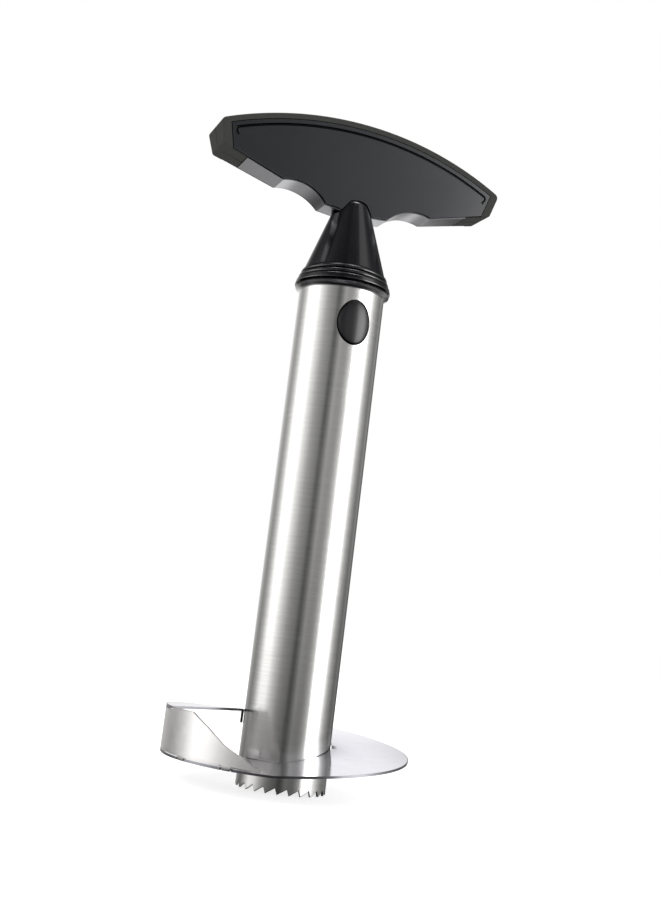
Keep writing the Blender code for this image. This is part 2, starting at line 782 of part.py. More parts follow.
def band_rails():
    """The band's outer and inner lines as two lists of paired points, from seam to middle."""
    seam_x = HANDLE_HALF_LENGTH - SEAM_INSET + GAP
    rails = []
    settings = (
        (underside_z, 0.0, 0.0, BAND_LOW_CORNER, BAND_TOP_CORNER),
        (
            lambda x: underside_z(x) + BAND_UNDER,
            BAND_END + BAND_KEY,
            BAND_TOP + BAND_KEY,
            BAND_INNER_CORNER,
            BAND_INNER_CORNER,
        ),
    )
    for under, end_inset, top_inset, low_fillet, high_fillet in settings:
        low = end_corner(under, end_inset)
        high = end_corner(lambda x, inset=top_inset: top_z(x, inset), end_inset)
        arc = top_arc(high, top_inset)
        corners = [(seam_x, under(seam_x), 0), (*low, low_fillet), (*high, high_fillet), (*arc[0], 0)]
        rails.append(rounded_path(corners) + arc[1:])
    return rails


def band_section(outer, inner):
    """The band's cross-section at a pair of rail points, as a loop of 3D points."""
    depth = (inner - outer).length
    spots = [(0.0, depth)]
    for step in range(BAND_EDGE_STEPS + 1):
        turn = math.pi / 2 * step / BAND_EDGE_STEPS
        spots.append((BAND_EDGE * (1 - math.cos(turn)), BAND_EDGE * (1 - math.sin(turn))))
    loop = []
    for inward, down in spots:
        x, z = outer.lerp(inner, down / depth)
        loop.append(Vector((x, inward - wedge_half(z) - PANEL_OUTER, z)))
    for width, down in ((-BAND_LINE_HALF_WIDTH, 0.0), (-BAND_LINE_HALF_WIDTH / 2, BAND_LINE_DEPTH)):
        x, z = outer.lerp(inner, down / depth)
        loop.append(Vector((x, width, z)))
    return loop + [Vector((x, -y, z)) for x, y, z in reversed(loop)]


def make_band(rubber):
    """A loft of rounded sections round the handle's ends and top. The covers' pockets in its
    sides leave a key between the covers and a strip under the core."""
    outer, inner = band_rails()
    half = list(zip(outer, inner))
    flip = Matrix.Diagonal((-1, 1))
    stations = half + [(flip @ out, flip @ into) for out, into in reversed(half[:-1])]
    bm = bmesh.new()
    rings = [[bm.verts.new(spot) for spot in band_section(*station)] for station in stations]
    for ring, following in zip(rings, rings[1:]):
        for index, corner in enumerate(ring):
            before = index - 1
            bm.faces.new((ring[before], corner, following[index], following[before]))
    bm.faces.new(rings[0])
    bm.faces.new(rings[-1])
    bmesh.ops.recalc_face_normals(bm, faces=bm.faces)
    band = from_bmesh("grip_band", bm)
    cut(band, make_pocket("front_cover_pocket", -1), make_pocket("back_cover_pocket", 1))
    return as_part(band, rubber)


def make_pocket(name, side):
    """A cutter for the room that a cover takes inside the band."""
    seam_x = HANDLE_HALF_LENGTH - SEAM_INSET
    low = end_corner(lambda x: underside_z(x) - OVERRUN, BAND_END)
    high = end_corner(lambda x: top_z(x, BAND_TOP), BAND_END)
    start = Vector((seam_x - OVERRUN, underside_z(seam_x) - OVERRUN))
    outline = mirrored([start, low, high] + top_arc(high, BAND_TOP))
    return wedge(name, outline, (side, 0), (side, side * (PANEL_OUTER + OVERRUN)))


def plug_profile():
    spigot_z = COLLAR_Z + COLLAR_RECESS_DEPTH - GAP
    foot = PLUG_TOP_Z - PLUG_LENGTH
    return [
        Vector((0, spigot_z)),
        Vector((SPIGOT_RADIUS, spigot_z)),
        Vector((SPIGOT_RADIUS, PLUG_TOP_Z)),
        Vector((PLUG_RADIUS, PLUG_TOP_Z)),
        Vector((PLUG_RADIUS, foot + PLUG_CHAMFER)),
        Vector((PLUG_RADIUS - PLUG_CHAMFER, foot)),
        Vector((0, foot)),
    ]


def flange_half_width():
    return BUTTON_HALF_WIDTH + BUTTON_LIP


def flange_half_height():
    return flange_half_width() * BUTTON_HALF_HEIGHT / BUTTON_HALF_WIDTH


def flange_y():
    """Distance from the axis to the outer face of a button's flange at rest. At the end of its
    travel the flange still clears the bolt's washer."""
    return WASHER_RADIUS + GAP + BUTTON_TRAVEL + BUTTON_FLANGE


def screw_z():
    return PLUG_TOP_Z - PLUG_LENGTH + SCREW_RISE


def screw_head_x():
    """X of the seat under the screws' heads."""
    depth = math.sqrt(PLUG_RADIUS**2 - (SCREW_OFFSET + SCREW_HEAD_RADIUS + GAP) ** 2)
    return depth - SCREW_HEAD_HEIGHT - GAP


def plug_cutters():
    """Everything that both halves of the plug are cut by."""
    wide = flange_half_width() + GAP
    tall = flange_half_height() + GAP
    outer = flange_y() + GAP
    inner = PLUG_CENTRE_WALL / 2
    cutters = []
    for side, name in ((-1, "front"), (1, "back")):
        y_pair = sorted((side * inner, side * outer))
        low = (-wide, y_pair[0], BUTTON_Z - tall)
        high = (wide, y_pair[1], BUTTON_Z + tall)
        cutters.append(box(f"{name}_button_pocket", low, high))
    reach = PLUG_RADIUS + OVERRUN
    for side, name in ((-1, "front"), (1, "back")):
        cutters.append(button_opening(f"{name}_window", GAP, side * (outer - OVERRUN), side * reach))
    foot = (0, 0, PLUG_ROOF_Z - WASHER_THICKNESS - BOLT_HEAD_HEIGHT - BOLT_HEAD_ROOM)
    top = (0, 0, COLLAR_Z + COLLAR_RECESS_DEPTH + OVERRUN)
    cutters.append(rod("bolt_hole", foot, top, BOLT_HOLE_RADIUS, segments=SMALL_STEPS))
    room = WASHER_RADIUS + WASHER_ROOM
    roof = (0, 0, PLUG_ROOF_Z)
    cutters.append(rod("bolt_head_room", foot, roof, room, segments=SMALL_STEPS))
    for side, name in ((-1, "front"), (1, "back")):
        y = side * SCREW_OFFSET
        start = (-SCREW_REACH - GAP, y, screw_z())
        finish = (screw_head_x() + OVERRUN, y, screw_z())
        hole = SCREW_RADIUS + GAP
        cutters.append(rod(f"{name}_screw_hole", start, finish, hole, segments=SCREW_STEPS))
        start = (screw_head_x(), y, screw_z())
        finish = (reach, y, screw_z())
        seat = SCREW_HEAD_RADIUS + GAP
        cutters.append(rod(f"{name}_screw_seat", start, finish, seat, segments=SMALL_STEPS))
    return cutters


def make_plug(plastic):
    cutters = plug_cutters()
    reach = PLUG_RADIUS + OVERRUN
    low_z = PLUG_TOP_Z - PLUG_LENGTH - OVERRUN
    high_z = COLLAR_Z + COLLAR_RECESS_DEPTH + OVERRUN
    halves = []
    for side, name in ((-1, "plug_left"), (1, "plug_right")):
        half = turned(name, plug_profile(), steps=PLUG_STEPS)
        x_pair = sorted((side * GAP / 2, -side * reach))
        away = box(name + "_other_half", (x_pair[0], -reach, low_z), (x_pair[1], reach, high_z))
        cut(half, away, *cutters)
        halves.append(as_part(half, plastic))
    return halves


def button_profile():
    """(radius, outward y) of a button: domed face, oval neck, flange and the spring's socket."""
    face = TUBE_RADIUS + BUTTON_PROUD
    wide = BUTTON_HALF_WIDTH
    flange = flange_half_width()
    edge = face - BUTTON_EDGE
    back = flange_y() - BUTTON_FLANGE
    dome = [(wide * out, face - BUTTON_EDGE * down) for out, down in BUTTON_DOME_SHARES]
    return [
        (0, face),
        *dome,
        (wide, edge),
        (wide, flange_y()),
        (flange, flange_y()),
        (flange, back),
        (0, back),
    ]


def make_button(name, side, satin):
    """A button: turned, stretched to an oval and wrapped to the tube's curve."""
    button = turned(name, button_profile(), steps=BUTTON_STEPS)
    apply_modifiers(button)
    face = TUBE_RADIUS + BUTTON_PROUD
    stretch = BUTTON_HALF_HEIGHT / BUTTON_HALF_WIDTH
    for vertex in button.data.vertices:
        across, up, out = vertex.co.x, vertex.co.y * stretch, vertex.co.z
        if out > flange_y() + GAP:
            out -= face - math.sqrt(face**2 - across**2)
        vertex.co = (across, -out, up)
    button.data.update()
    button.matrix_world = Matrix.Translation((0, 0, BUTTON_Z))
    if side > 0:
        button.matrix_world = button.matrix_world @ Matrix.Rotation(math.pi, 4, "Z")
    back = flange_y() - BUTTON_FLANGE
    start = (0, side * (back - OVERRUN), BUTTON_Z)
    finish = (0, side * (back + SPRING_SOCKET_DEPTH), BUTTON_Z)
    socket = rod(name + "_socket", start, finish, SPRING_SOCKET_RADIUS, segments=SMALL_STEPS)
    cut(button, socket)
    return as_part(button, satin)


def make_spring(name, side, steel):
    """A coil spring from the plug's centre wall to the bottom of the button's socket."""
    start = PLUG_CENTRE_WALL / 2 + GAP + SPRING_WIRE / 2
    finish = flange_y() - BUTTON_FLANGE + SPRING_SOCKET_DEPTH - GAP - SPRING_WIRE / 2
    count = SPRING_TURNS * SPRING_POINTS
    points = []
    for step in range(count + 1):
        angle = math.tau * step / SPRING_POINTS
        y = side * mix(start, finish, step / count)
        x = SPRING_RADIUS * math.cos(angle)
        z = BUTTON_Z + side * SPRING_RADIUS * math.sin(angle)
        points.append(Vector((x, y, z)))
    least = min(
        (points[first] - points[second]).length
        for first in range(count + 1)
        for second in range(first + SPRING_POINTS // 2 + 1, count + 1)
    )
    print(f"{name}: least gap between its turns {least - SPRING_WIRE:.5f} m")
    return as_part(wire(name, points, SPRING_WIRE / 2, resolution=1), steel)


def make_bolt(steel):
    """A hexagon-headed bolt with its washer, up through the plug and collar to the insert."""
    washer_top = PLUG_ROOF_Z - GAP
    washer_low = washer_top - WASHER_THICKNESS
    head_top = washer_low - GAP
    head_low = head_top - BOLT_HEAD_HEIGHT
    tip = HANDLE_Z - TONGUE_DEPTH + INSERT_LENGTH - GAP
    bolt = rod("stem_bolt", (0, 0, head_low), (0, 0, head_top), BOLT_HEAD_RADIUS, segments=6)
    middle = (head_low + head_top) / 2
    shank = rod("stem_shank", (0, 0, middle), (0, 0, tip), BOLT_RADIUS, segments=SMALL_STEPS)
    join(bolt, shank)
    hole = BOLT_HOLE_RADIUS
    profile = [(WASHER_RADIUS, washer_top), (WASHER_RADIUS, washer_low), (hole, washer_low)]
    profile.append((hole, washer_top))
    washer = turned("stem_washer", profile, steps=SMALL_STEPS, closed=True)
    return as_part(bolt, steel), as_part(washer, steel)


def make_insert(brass):
    """A brass insert with two grooves round it, in the core's tongue."""
    low = HANDLE_Z - TONGUE_DEPTH + GAP
    high = low + INSERT_LENGTH
    depths = (0.0, INSERT_GROOVE, INSERT_GROOVE, 0.0, 0.0)
    profile = [(INSERT_RADIUS, high)]
    for share, depth in zip(INSERT_GROOVE_SHARES, depths):
        profile.append((INSERT_RADIUS - depth, mix(high, low, share)))
    profile.append((INSERT_RADIUS - INSERT_GROOVE, low))
    profile += [(BOLT_HOLE_RADIUS, low), (BOLT_HOLE_RADIUS, high)]
    insert = turned("threaded_insert", profile, steps=SMALL_STEPS, closed=True)
    return as_part(insert, brass)


def make_screw(name, side, steel):
    """One of the two screws that hold the plug's halves together."""
    radius = SCREW_HEAD_RADIUS
    head = SCREW_HEAD_HEIGHT
    socket = radius * SOCKET_SHARE
    profile = [
        (0, head - head * SOCKET_SHARE),
        (socket, head - head * SOCKET_SHARE),
        (socket, head),
        (radius, head),
        (radius, 0),
        (SCREW_RADIUS, 0),
        (SCREW_RADIUS, -SCREW_REACH - screw_head_x()),
        (0, -SCREW_REACH - screw_head_x()),
    ]
    screw = turned(name, profile, steps=SCREW_STEPS)
    screw.location = (screw_head_x() + GAP, side * SCREW_OFFSET, screw_z())
    screw.rotation_euler.y = math.pi / 2
    return as_part(screw, steel)


def main():
    clear_scene()
    make_collection(PARTS)
    make_collection(HELPERS)
    steel = material("stainless_steel", (0.62, 0.61, 0.60), 0.28, 1.0)
    blade_steel = material("polished_blade_steel", (0.72, 0.72, 0.72), 0.18, 1.0)
    silver = material("satin_silver", (0.45, 0.45, 0.45), 0.35, 0.9)
    gloss = material("gloss_black", (0.012, 0.012, 0.013), 0.12, 0.0)
    charcoal = material("satin_charcoal", (0.035, 0.036, 0.042), 0.38, 0.0)
    rubber = material("soft_touch_grip", (0.055, 0.056, 0.048), 0.75, 0.0)
    button_grey = material("button_grey", (0.06, 0.06, 0.062), 0.4, 0.0)
    plastic = material("plug_black", (0.02, 0.02, 0.02), 0.5, 0.0)
    zinc = material("zinc_steel", (0.55, 0.56, 0.58), 0.35, 1.0)
    brass = material("brass", (0.6, 0.42, 0.16), 0.35, 1.0)

    make_tube(steel)
    make_blade(blade_steel)
    make_rim_cutter(blade_steel)
    make_collar(gloss)
    make_plug(plastic)
    for side, name in ((-1, "front"), (1, "back")):
        make_screw(f"plug_screw_{name}", side, zinc)
        make_button(f"{name}_button", side, button_grey)
        make_spring(f"{name}_button_spring", side, zinc)
        make_panel(f"{name}_panel", side, charcoal)
    make_bolt(zinc)
    make_insert(brass)
    make_core(silver)
    make_band(rubber)
    bpy.context.view_layer.update()


main()
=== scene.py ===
"""Studio scene of the pineapple slicer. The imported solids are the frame; the visible pieces are the
same forms with finer curves, rounded edges and procedural finishes. Metres, +Z up."""

import json
import math

import bmesh
import bpy
from mathutils import Matrix, Vector


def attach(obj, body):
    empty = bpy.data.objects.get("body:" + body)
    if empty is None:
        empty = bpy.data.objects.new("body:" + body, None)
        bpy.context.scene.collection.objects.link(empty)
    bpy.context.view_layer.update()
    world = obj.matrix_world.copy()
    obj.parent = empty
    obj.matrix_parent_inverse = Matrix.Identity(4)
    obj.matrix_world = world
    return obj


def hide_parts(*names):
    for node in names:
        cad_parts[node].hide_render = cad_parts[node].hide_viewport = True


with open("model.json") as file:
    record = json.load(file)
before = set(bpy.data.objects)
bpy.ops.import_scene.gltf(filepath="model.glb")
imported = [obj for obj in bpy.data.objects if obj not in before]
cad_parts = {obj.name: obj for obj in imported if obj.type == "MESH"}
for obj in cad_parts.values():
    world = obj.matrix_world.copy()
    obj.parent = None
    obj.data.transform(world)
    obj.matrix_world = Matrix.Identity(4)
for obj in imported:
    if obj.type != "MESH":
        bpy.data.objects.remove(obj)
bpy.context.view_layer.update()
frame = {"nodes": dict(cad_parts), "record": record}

# Camera: the photograph's viewing angle, found from the outlines of tube, blade and handle
CAMERA_AZIMUTH = math.radians(-21.868)
CAMERA_ELEVATION = math.radians(-8.615)
CAMERA_ROLL = math.radians(7.067)
CAMERA_DISTANCE = 0.42956
CAMERA_SIDE = 0.002824
CAMERA_AIM_Z = 0.12207
CAMERA_LENS = 46.56
CAMERA_SENSOR = 36.0

# Studio
WHITE = (1, 1, 1)
WORLD_FILL = 0.55
FLOOR_RADIUS = 6.0
FLOOR_SIDES = 64
FLOOR_TONE = (0.5, 0.5, 0.5)
FLOOR_GLOW = 0.78
FLOOR_BOUNCE = 0.85
# Soft lamps: name, place, size and power
LAMPS = (
    ("lamp_left", (-0.9, -0.5, 0.7), 0.7, 7.0),
    ("lamp_right", (0.8, -0.7, 0.6), 0.6, 6.0),
    ("lamp_top", (0.1, 0.1, 1.3), 0.8, 8.0),
)

# Reflection wall: its angles are in degrees from the camera to the right, its heights in metres
WALL_RADIUS = 1.3
WALL_STEP = 2
WALL_ROWS = (-0.9, -0.5, -0.33, -0.27, -0.2, -0.1, 0.05, 0.13, 0.27, 0.45, 0.6, 0.95, 1.4, 2.6, 3.2, 9.0)
# Its glow at each angle
WALL_GLOW = (
    (-180, 1.0), (-155, 0.8), (-143, 0.6), (-128, 0.42), (-116, 0.6), (-106, 0.95),
    (-97, 1.6), (-90, 2.2), (-70, 2.2), (-60, 1.5), (-52, 1.1), (-46, 0.88),
    (-35, 0.52), (-22, 0.36), (-14, 0.31), (-5, 0.1), (4, 0.26), (12, 0.54),
    (18, 0.42), (30, 0.4), (38, 0.61), (46, 0.98), (50, 1.4), (53, 5.5),
    (79, 5.5), (88, 2.0), (96, 1.05), (105, 0.62), (115, 0.4), (128, 0.22),
    (143, 0.36), (152, 0.2), (168, 0.06), (176, 1.0), (180, 1.0),
)
# How much of that glow is left at each height
HEIGHT_SHARES = (
    (-0.9, 0.5), (-0.27, 0.55), (-0.1, 0.62), (0.27, 1.0),
    (0.6, 1.1), (0.95, 0.3), (1.4, 0.1), (4.0, 0.08),
)
# Glow of the wall's top by angle, which only the collar's rounded rings see from the front
TOP_START = 2.6
TOP_FULL = 3.2
TOP_GLOW = (
    (-180, 0.5), (-100, 0.5), (-80, 4.8), (-35, 4.8), (-20, 0.8),
    (15, 0.8), (30, 5.6), (70, 5.6), (90, 0.5), (180, 0.5),
)
# Glow of the wall's foot by angle, which the handle's underside and the tube's flared mouth see
FOOT_TOP = -0.13
FOOT_LOW = -0.27
FOOT_GLOW = (
    (-180, 0.4), (-160, 0.42), (-150, 0.25), (-140, 0.05), (-120, 0.05),
    (-110, 0.5), (-90, 1.2), (-65, 0.3), (-45, 0.02), (50, 0.02),
    (70, 0.4), (95, 1.2), (115, 0.5), (150, 0.3), (180, 0.4),
)
# Glow behind the object by height, from the angle where it starts to the angle where it is full
BACK_START = 168
BACK_FULL = 175
BACK_GLOW = (
    (-0.9, 0.3), (-0.33, 0.32), (-0.27, 1.1), (0.05, 1.0), (0.13, 1.05),
    (0.6, 1.05), (0.95, 0.5), (1.4, 0.1), (4.0, 0.08),
)
# Glow of the disc below the wall, from the angle towards the camera round to the back
DISC_Z = -0.9
DISC_HOLE = 0.01
DISC_GLOW = ((0, 0.03), (95, 0.06), (130, 0.9), (180, 0.9))

# Fits and meshes
GAP = 0.0003
OVERRUN = 0.0015
WELD = 0.000002
SLIVER = 0.00002
SHARP_ANGLE = math.radians(32)
BEVEL_ANGLE = math.radians(38)
TURNED_LIMIT = math.radians(12)
FLAT_AREA = 0.00003
FLAT_WEIGHT = 80
FINE_EDGE = 0.00010
SOFT_EDGE = 0.00022
EDGE_SEGMENTS = 2

# Patterns of the finishes: the used span of a noise or a mark, detail, and spots to the metre
NOISE_SPAN = (0.3, 0.7)
MARK_SPAN = (0, 1)
CLOUD_ROUGHNESS = 0.55
GRAIN_ROUGHNESS = 0.65
GRAIN_DETAIL = 4.0
TEXTURE_DETAIL = 2.0
STEEL_CLOUD = (90, 90, 90)
STEEL_CLOUD_DETAIL = 3.0
PLASTIC_CLOUD = (70, 70, 70)
PLASTIC_CLOUD_DETAIL = 4.0

# Steel: how far its scratches and patches change its roughness, and what its marks do
STEEL_SPREAD = (0.8, 1.15)
STEEL_PATCHES = (-0.02, 0.03)
STEEL_BUMP = 0.25
GROUND_ROUGHNESS = 0.15
# Tones of the dark marks: grinding, and painted shade in notches, seams, gaps and the tube's mouth
GROUND_AND_PAINTED_SHADE_TONE = (0.09, 0.09, 0.095)
TOOTH_EDGE_AND_PAINTED_SHADE_TONE = (0.12, 0.12, 0.125)
RAW_SHINE = 0.3
STEELS = {
    "tube_steel": dict(
        light=(0.66, 0.655, 0.64), dark=(0.58, 0.575, 0.565), roughness=0.17,
        grain=(70, 70, 2600), depth=0.00001, ground_and_painted_shade=TOOTH_EDGE_AND_PAINTED_SHADE_TONE,
    ),
    "blade_steel": dict(
        light=(0.79, 0.78, 0.84), dark=(0.73, 0.72, 0.78), roughness=0.13,
        grain=(260, 260, 260), depth=0.000006, ground_and_painted_shade=GROUND_AND_PAINTED_SHADE_TONE,
    ),
    "cutter_steel": dict(
        light=(0.84, 0.825, 0.81), dark=(0.79, 0.775, 0.76), roughness=0.2,
        grain=(260, 260, 260), depth=0.000006, ground_and_painted_shade=GROUND_AND_PAINTED_SHADE_TONE, raw_shine=0.84,
    ),
    "handle_silver": dict(
        light=(0.54, 0.54, 0.555), dark=(0.42, 0.42, 0.435), roughness=0.22,
        grain=(300, 3000, 3000), depth=0.00002, ground_and_painted_shade=GROUND_AND_PAINTED_SHADE_TONE,
    ),
    "zinc_steel": dict(
        light=(0.6, 0.61, 0.63), dark=(0.48, 0.49, 0.51), roughness=0.33,
        grain=(900, 900, 900), depth=0.00001,
    ),
    "brass": dict(
        light=(0.68, 0.49, 0.2), dark=(0.55, 0.38, 0.14), roughness=0.3,
        grain=(300, 300, 4000), depth=0.00002,
    ),
}

# Plastic
# Black that is painted into the marked hollows of the plastics as shade
PAINTED_SHADE_BLACK = (0, 0, 0)
PLASTIC_SPREAD = (0.92, 1.1)
PLASTIC_BUMP = 0.3
PLASTICS = {
    "gloss_black": dict(
        base=(0.004, 0.004, 0.0055), worn=(0.01, 0.01, 0.011), roughness=0.15,
        texture=900, depth=0.000004, painted_hollow_shade=True, gloss={"IOR": 1.66, "Specular IOR Level": 0.7},
    ),
    "cover_charcoal": dict(
        base=(0.0022, 0.0029, 0.005), worn=(0.03, 0.03, 0.033), roughness=0.16,
        texture=4200, depth=0.000005, painted_hollow_shade=True, gloss={"Specular IOR Level": 0.62},
    ),
    "grip_rubber": dict(
        base=(0.036, 0.036, 0.034), worn=(0.044, 0.044, 0.042), roughness=0.6,
        texture=3200, depth=0.00002, gloss={"Specular IOR Level": 0.06},
    ),
    "button_grey": dict(
        base=(0.009, 0.009, 0.01), worn=(0.014, 0.014, 0.015), roughness=0.26,
        texture=3600, depth=0.00001, painted_hollow_shade=True,
    ),
    "plug_black": dict(
        base=(0.018, 0.018, 0.018), worn=(0.024, 0.024, 0.024), roughness=0.5,
        texture=2600, depth=0.00002, by_edge=False,
    ),
}

# Coring tube
TUBE_RADIUS = 0.0160
TUBE_WALL = 0.0008
TUBE_HEIGHT = 0.1829
TUBE_ROWS = 12
MOUTH_FLARE = 0.0017
MOUTH_LENGTH = 0.0020
MOUTH_STEPS = 9
MOUTH_POWER = 2.2
TOOTH_COUNT = 24
TOOTH_COLUMNS = 8
TOOTH_DEPTH = 0.00215
TOOTH_BAND = 0.0042
FIRST_TOOTH = math.radians(5.2)
TOOTH_RISE_SHARE = 0.8
TOOTH_GROUND = 0.00028
# Painted shade over the tube's flared mouth, except towards MOUTH_SIDE and the opposite side, which stay
# bright
MOUTH_DARK_RISE = 0.0007
MOUTH_SIDE = math.radians(158)
MOUTH_SIDE_SHARE = 0.3

# Spiral blade
BLADE_RADIUS = 0.0437
BLADE_THICKNESS = 0.0008
BLADE_INNER = 0.0165
BLADE_LOW_Z = 0.0093
BLADE_CLIMB = 0.0156
BLADE_DISH = 0.0008
CLIMB_START = math.radians(245)
CLIMB_FINISH = math.radians(524)
CLIMB_POWER = 1.25
LEAD_AT_RIM = math.radians(153)
LEAD_AT_TUBE = math.radians(191)
END_AT_RIM = math.radians(542)
END_AT_TUBE = math.radians(520.7)
BLADE_COLUMNS = 360
BLADE_ROWS = 16
RIM_GROUND = 0.0004
RIM_SHARE = 0.6
END_SHARE = 0.9
SEAM_RADIUS = 0.0172
TAB_BURN_AND_SHADE_SHARE = 0.4
EDGE_SHARE = 0.25

# Tabs that weld the blade to the tube
TAB_WIDTH = math.radians(7)
TAB_DROP = 0.0026
TAB_RISE = 0.0002
END_TAB_DROP = 0.0046
TAB_COLUMNS = 10
TAB_ANGLES = (math.radians(209.5), math.radians(336), math.radians(463))

# Upright cutter at the blade's rim
CUTTER_THICKNESS = 0.0007
CUTTER_START = math.radians(152)
CUTTER_STEP = math.radians(183.4)
CUTTER_SHOULDER = math.radians(202)
CUTTER_FINISH = math.radians(240)
CUTTER_SLOPE_SHARES = (
    (0.27, 0.745), (0.53, 0.43), (0.70, 0.29), (0.80, 0.215), (0.86, 0.14), (1.0, 0.04),
)
CUTTER_COLUMN_ANGLE = math.radians(1)
CUTTER_ROWS = 10
FOOT_ANGLES = (math.radians(197), math.radians(224))
FOOT_HALF_WIDTH = math.radians(2.4)
FOOT_TAPER = math.radians(0.6)
NOTCH_DEPTH = 0.0011

# Collar and cone
TURN_STEPS = 160
COLLAR_LIP = 0.0003
RINGS_HEIGHT = 0.0063
RING_SHARES = (
    (0.895, 0.87, 0.915, 0.72),
    (0.935, 0.575, 0.955, 0.42),
    (0.98, 0.285, 1.0, 0.05),
)
RING_GROOVE = 0.0008
GROOVES_TOP_SHARE = 0.98
RING_SHOULDER = 0.0005
RING_FILLET = 0.0007
RING_STEPS = 6
CONE_FOOT_SHARE = 0.851
CONE_TOP_RADIUS = 0.00797
NOSE_HEIGHT = 0.0056
NOSE_FILLET = 0.0022
HANDLE_LIFT = 0.0284
COLLAR_RECESS_RADIUS = 0.0122
COLLAR_RECESS_DEPTH = 0.0027

# Release buttons
BUTTON_DROP = 0.0152
BUTTON_HALF_WIDTH = 0.00615
BUTTON_HALF_HEIGHT = 0.00815
BUTTON_PROUD = 0.0010
BUTTON_EDGE = 0.0011
BUTTON_LIP = 0.0016
BUTTON_FLANGE = 0.0018
BUTTON_FLANGE_Y = 0.0097
BUTTON_SOCKET_RADIUS = 0.00375
BUTTON_SOCKET_DEPTH = 0.0040
BUTTON_STEPS = 96
BUTTON_RIM_SHADE_SHARE = 0.93
DOME_STEPS = 14
DOME_POWER = 0.7
HOLE_SIDES = 96

# Handle: heights are above the middle of its underside
HANDLE_HALF_LENGTH = 0.0576
HANDLE_HEIGHT = 0.0335
END_LOW_RISE = 0.0130
END_HEIGHT = 0.00845
END_LEAN = 0.0023
STRIP_HALF_THICKNESS = 0.00385
TOP_HALF_THICKNESS = 0.00988
UNDERSIDE_RISE = 0.0012
RECESS_INNER_X = 0.0128
RECESS_OUTER_X = 0.0306
RECESS_OUTER_RISE = 0.0060
RECESS_DEPTH = 0.0027
RECESS_STEPS = 48
SEAM_INSET = 0.0122
TOP_STEPS = 60
ARC_START_SHARE = 0.93
CORNER_STEPS = 8
SETTLE_ROUNDS = 20

# Covers and band of the handle
PANEL_THICKNESS = 0.0009
PANEL_LIFT = 0.0004
GROOVE_RADIUS = 0.0005
GROOVE_INSET = 0.0042
GROOVE_HALF_LENGTH = 0.0513
GROOVE_HOOK = 0.0026
GROOVE_HOOK_LEAN = 0.0007
GROOVE_PAINTED_SHADE_SHARE = 0.7
GROOVE_ROUNDNESS = 4
BAND_TOP = 0.0021
BAND_END = 0.0033
BAND_UNDER = 0.0015
BAND_KEY = 0.0006
BAND_EDGE = 0.0008
BAND_EDGE_STEPS = 6
BAND_TOP_CORNER = 0.0018
BAND_LOW_CORNER = 0.0012
BAND_INNER_CORNER = 0.0005
BAND_LINE_HALF_WIDTH = 0.0006
BAND_LINE_DEPTH = 0.0004

# Places and depths worked out from the sizes above
END_TAB_ANGLE = END_AT_TUBE - TAB_WIDTH / 2
MOUTH_Z = TUBE_HEIGHT - TUBE_WALL - MOUTH_LENGTH
COLLAR_Z = TUBE_HEIGHT + GAP
COLLAR_RADIUS = TUBE_RADIUS + MOUTH_FLARE + COLLAR_LIP
HANDLE_Z = COLLAR_Z + HANDLE_LIFT
BUTTON_Z = TUBE_HEIGHT - BUTTON_DROP
BUTTON_FACE = TUBE_RADIUS + BUTTON_PROUD
SEAM_X = HANDLE_HALF_LENGTH - SEAM_INSET
PANEL_OUTER = GAP + PANEL_THICKNESS
STRIP_PAINTED_SHADE_WIDTH = FINE_EDGE / 2
RING_PAINTED_SHADE_DEPTH = RING_GROOVE / 2
GROOVE_PAINTED_SHADE_DEPTH = GROOVE_RADIUS / 2
GROOVE_BULGE = GROOVE_HOOK_LEAN / 2
GROOVE_BULGE_DROP = GROOVE_HOOK / 3
TOP_DROP = HANDLE_HEIGHT - END_LOW_RISE - END_HEIGHT
HANDLE_TOP_RADIUS = (HANDLE_HALF_LENGTH**2 + TOP_DROP**2) / (2 * TOP_DROP)
UNDERSIDE_RUN = HANDLE_HALF_LENGTH - END_LEAN - RECESS_OUTER_X
UNDERSIDE_SLOPE = (END_LOW_RISE - RECESS_OUTER_RISE) / UNDERSIDE_RUN


def make_camera():
    """The camera turns about the aim point, with the photograph's tilt to one side."""
    azimuth, elevation = CAMERA_AZIMUTH, CAMERA_ELEVATION
    flat = math.cos(elevation)
    back = Vector((math.sin(azimuth) * flat, -math.cos(azimuth) * flat, math.sin(elevation)))
    level = (-back).cross(Vector((0, 0, 1))).normalized()
    upright = level.cross(-back)
    right = level * math.cos(CAMERA_ROLL) + upright * math.sin(CAMERA_ROLL)
    up = upright * math.cos(CAMERA_ROLL) - level * math.sin(CAMERA_ROLL)
    data = bpy.data.cameras.new("camera")
    data.lens = CAMERA_LENS
    data.sensor_width = CAMERA_SENSOR
    camera = linked("camera", data)
    place = Vector((0, 0, CAMERA_AIM_Z)) + right * CAMERA_SIDE + back * CAMERA_DISTANCE
    axes = Matrix((right, up, back)).transposed().to_4x4()
    camera.matrix_world = Matrix.Translation(place) @ axes
    bpy.context.scene.camera = camera


def new_material(name):
    """A material with an empty node tree."""
    made = bpy.data.materials.new(name)
    made.use_nodes = True
    made.node_tree.nodes.clear()
    return made, made.node_tree


def add_node(tree, kind, inputs=None, **settings):
    """A new node with its settings. Each input gets a plain value, a colour as red, green and
    blue, or a link from another node's output."""
    made = tree.nodes.new("ShaderNode" + kind)
    for name, value in settings.items():
        setattr(made, name, value)
    for name, value in (inputs or {}).items():
        socket = made.inputs[name]
        if isinstance(value, bpy.types.NodeSocket):
            tree.links.new(value, socket)
        elif socket.type == "RGBA":
            socket.default_value = (*value, 1)
        else:
            socket.default_value = value
    return made


def combined(tree, operation, first, second):
    """What a sum or another operation makes of two values."""
    return add_node(tree, "Math", {0: first, 1: second}, operation=operation).outputs[0]


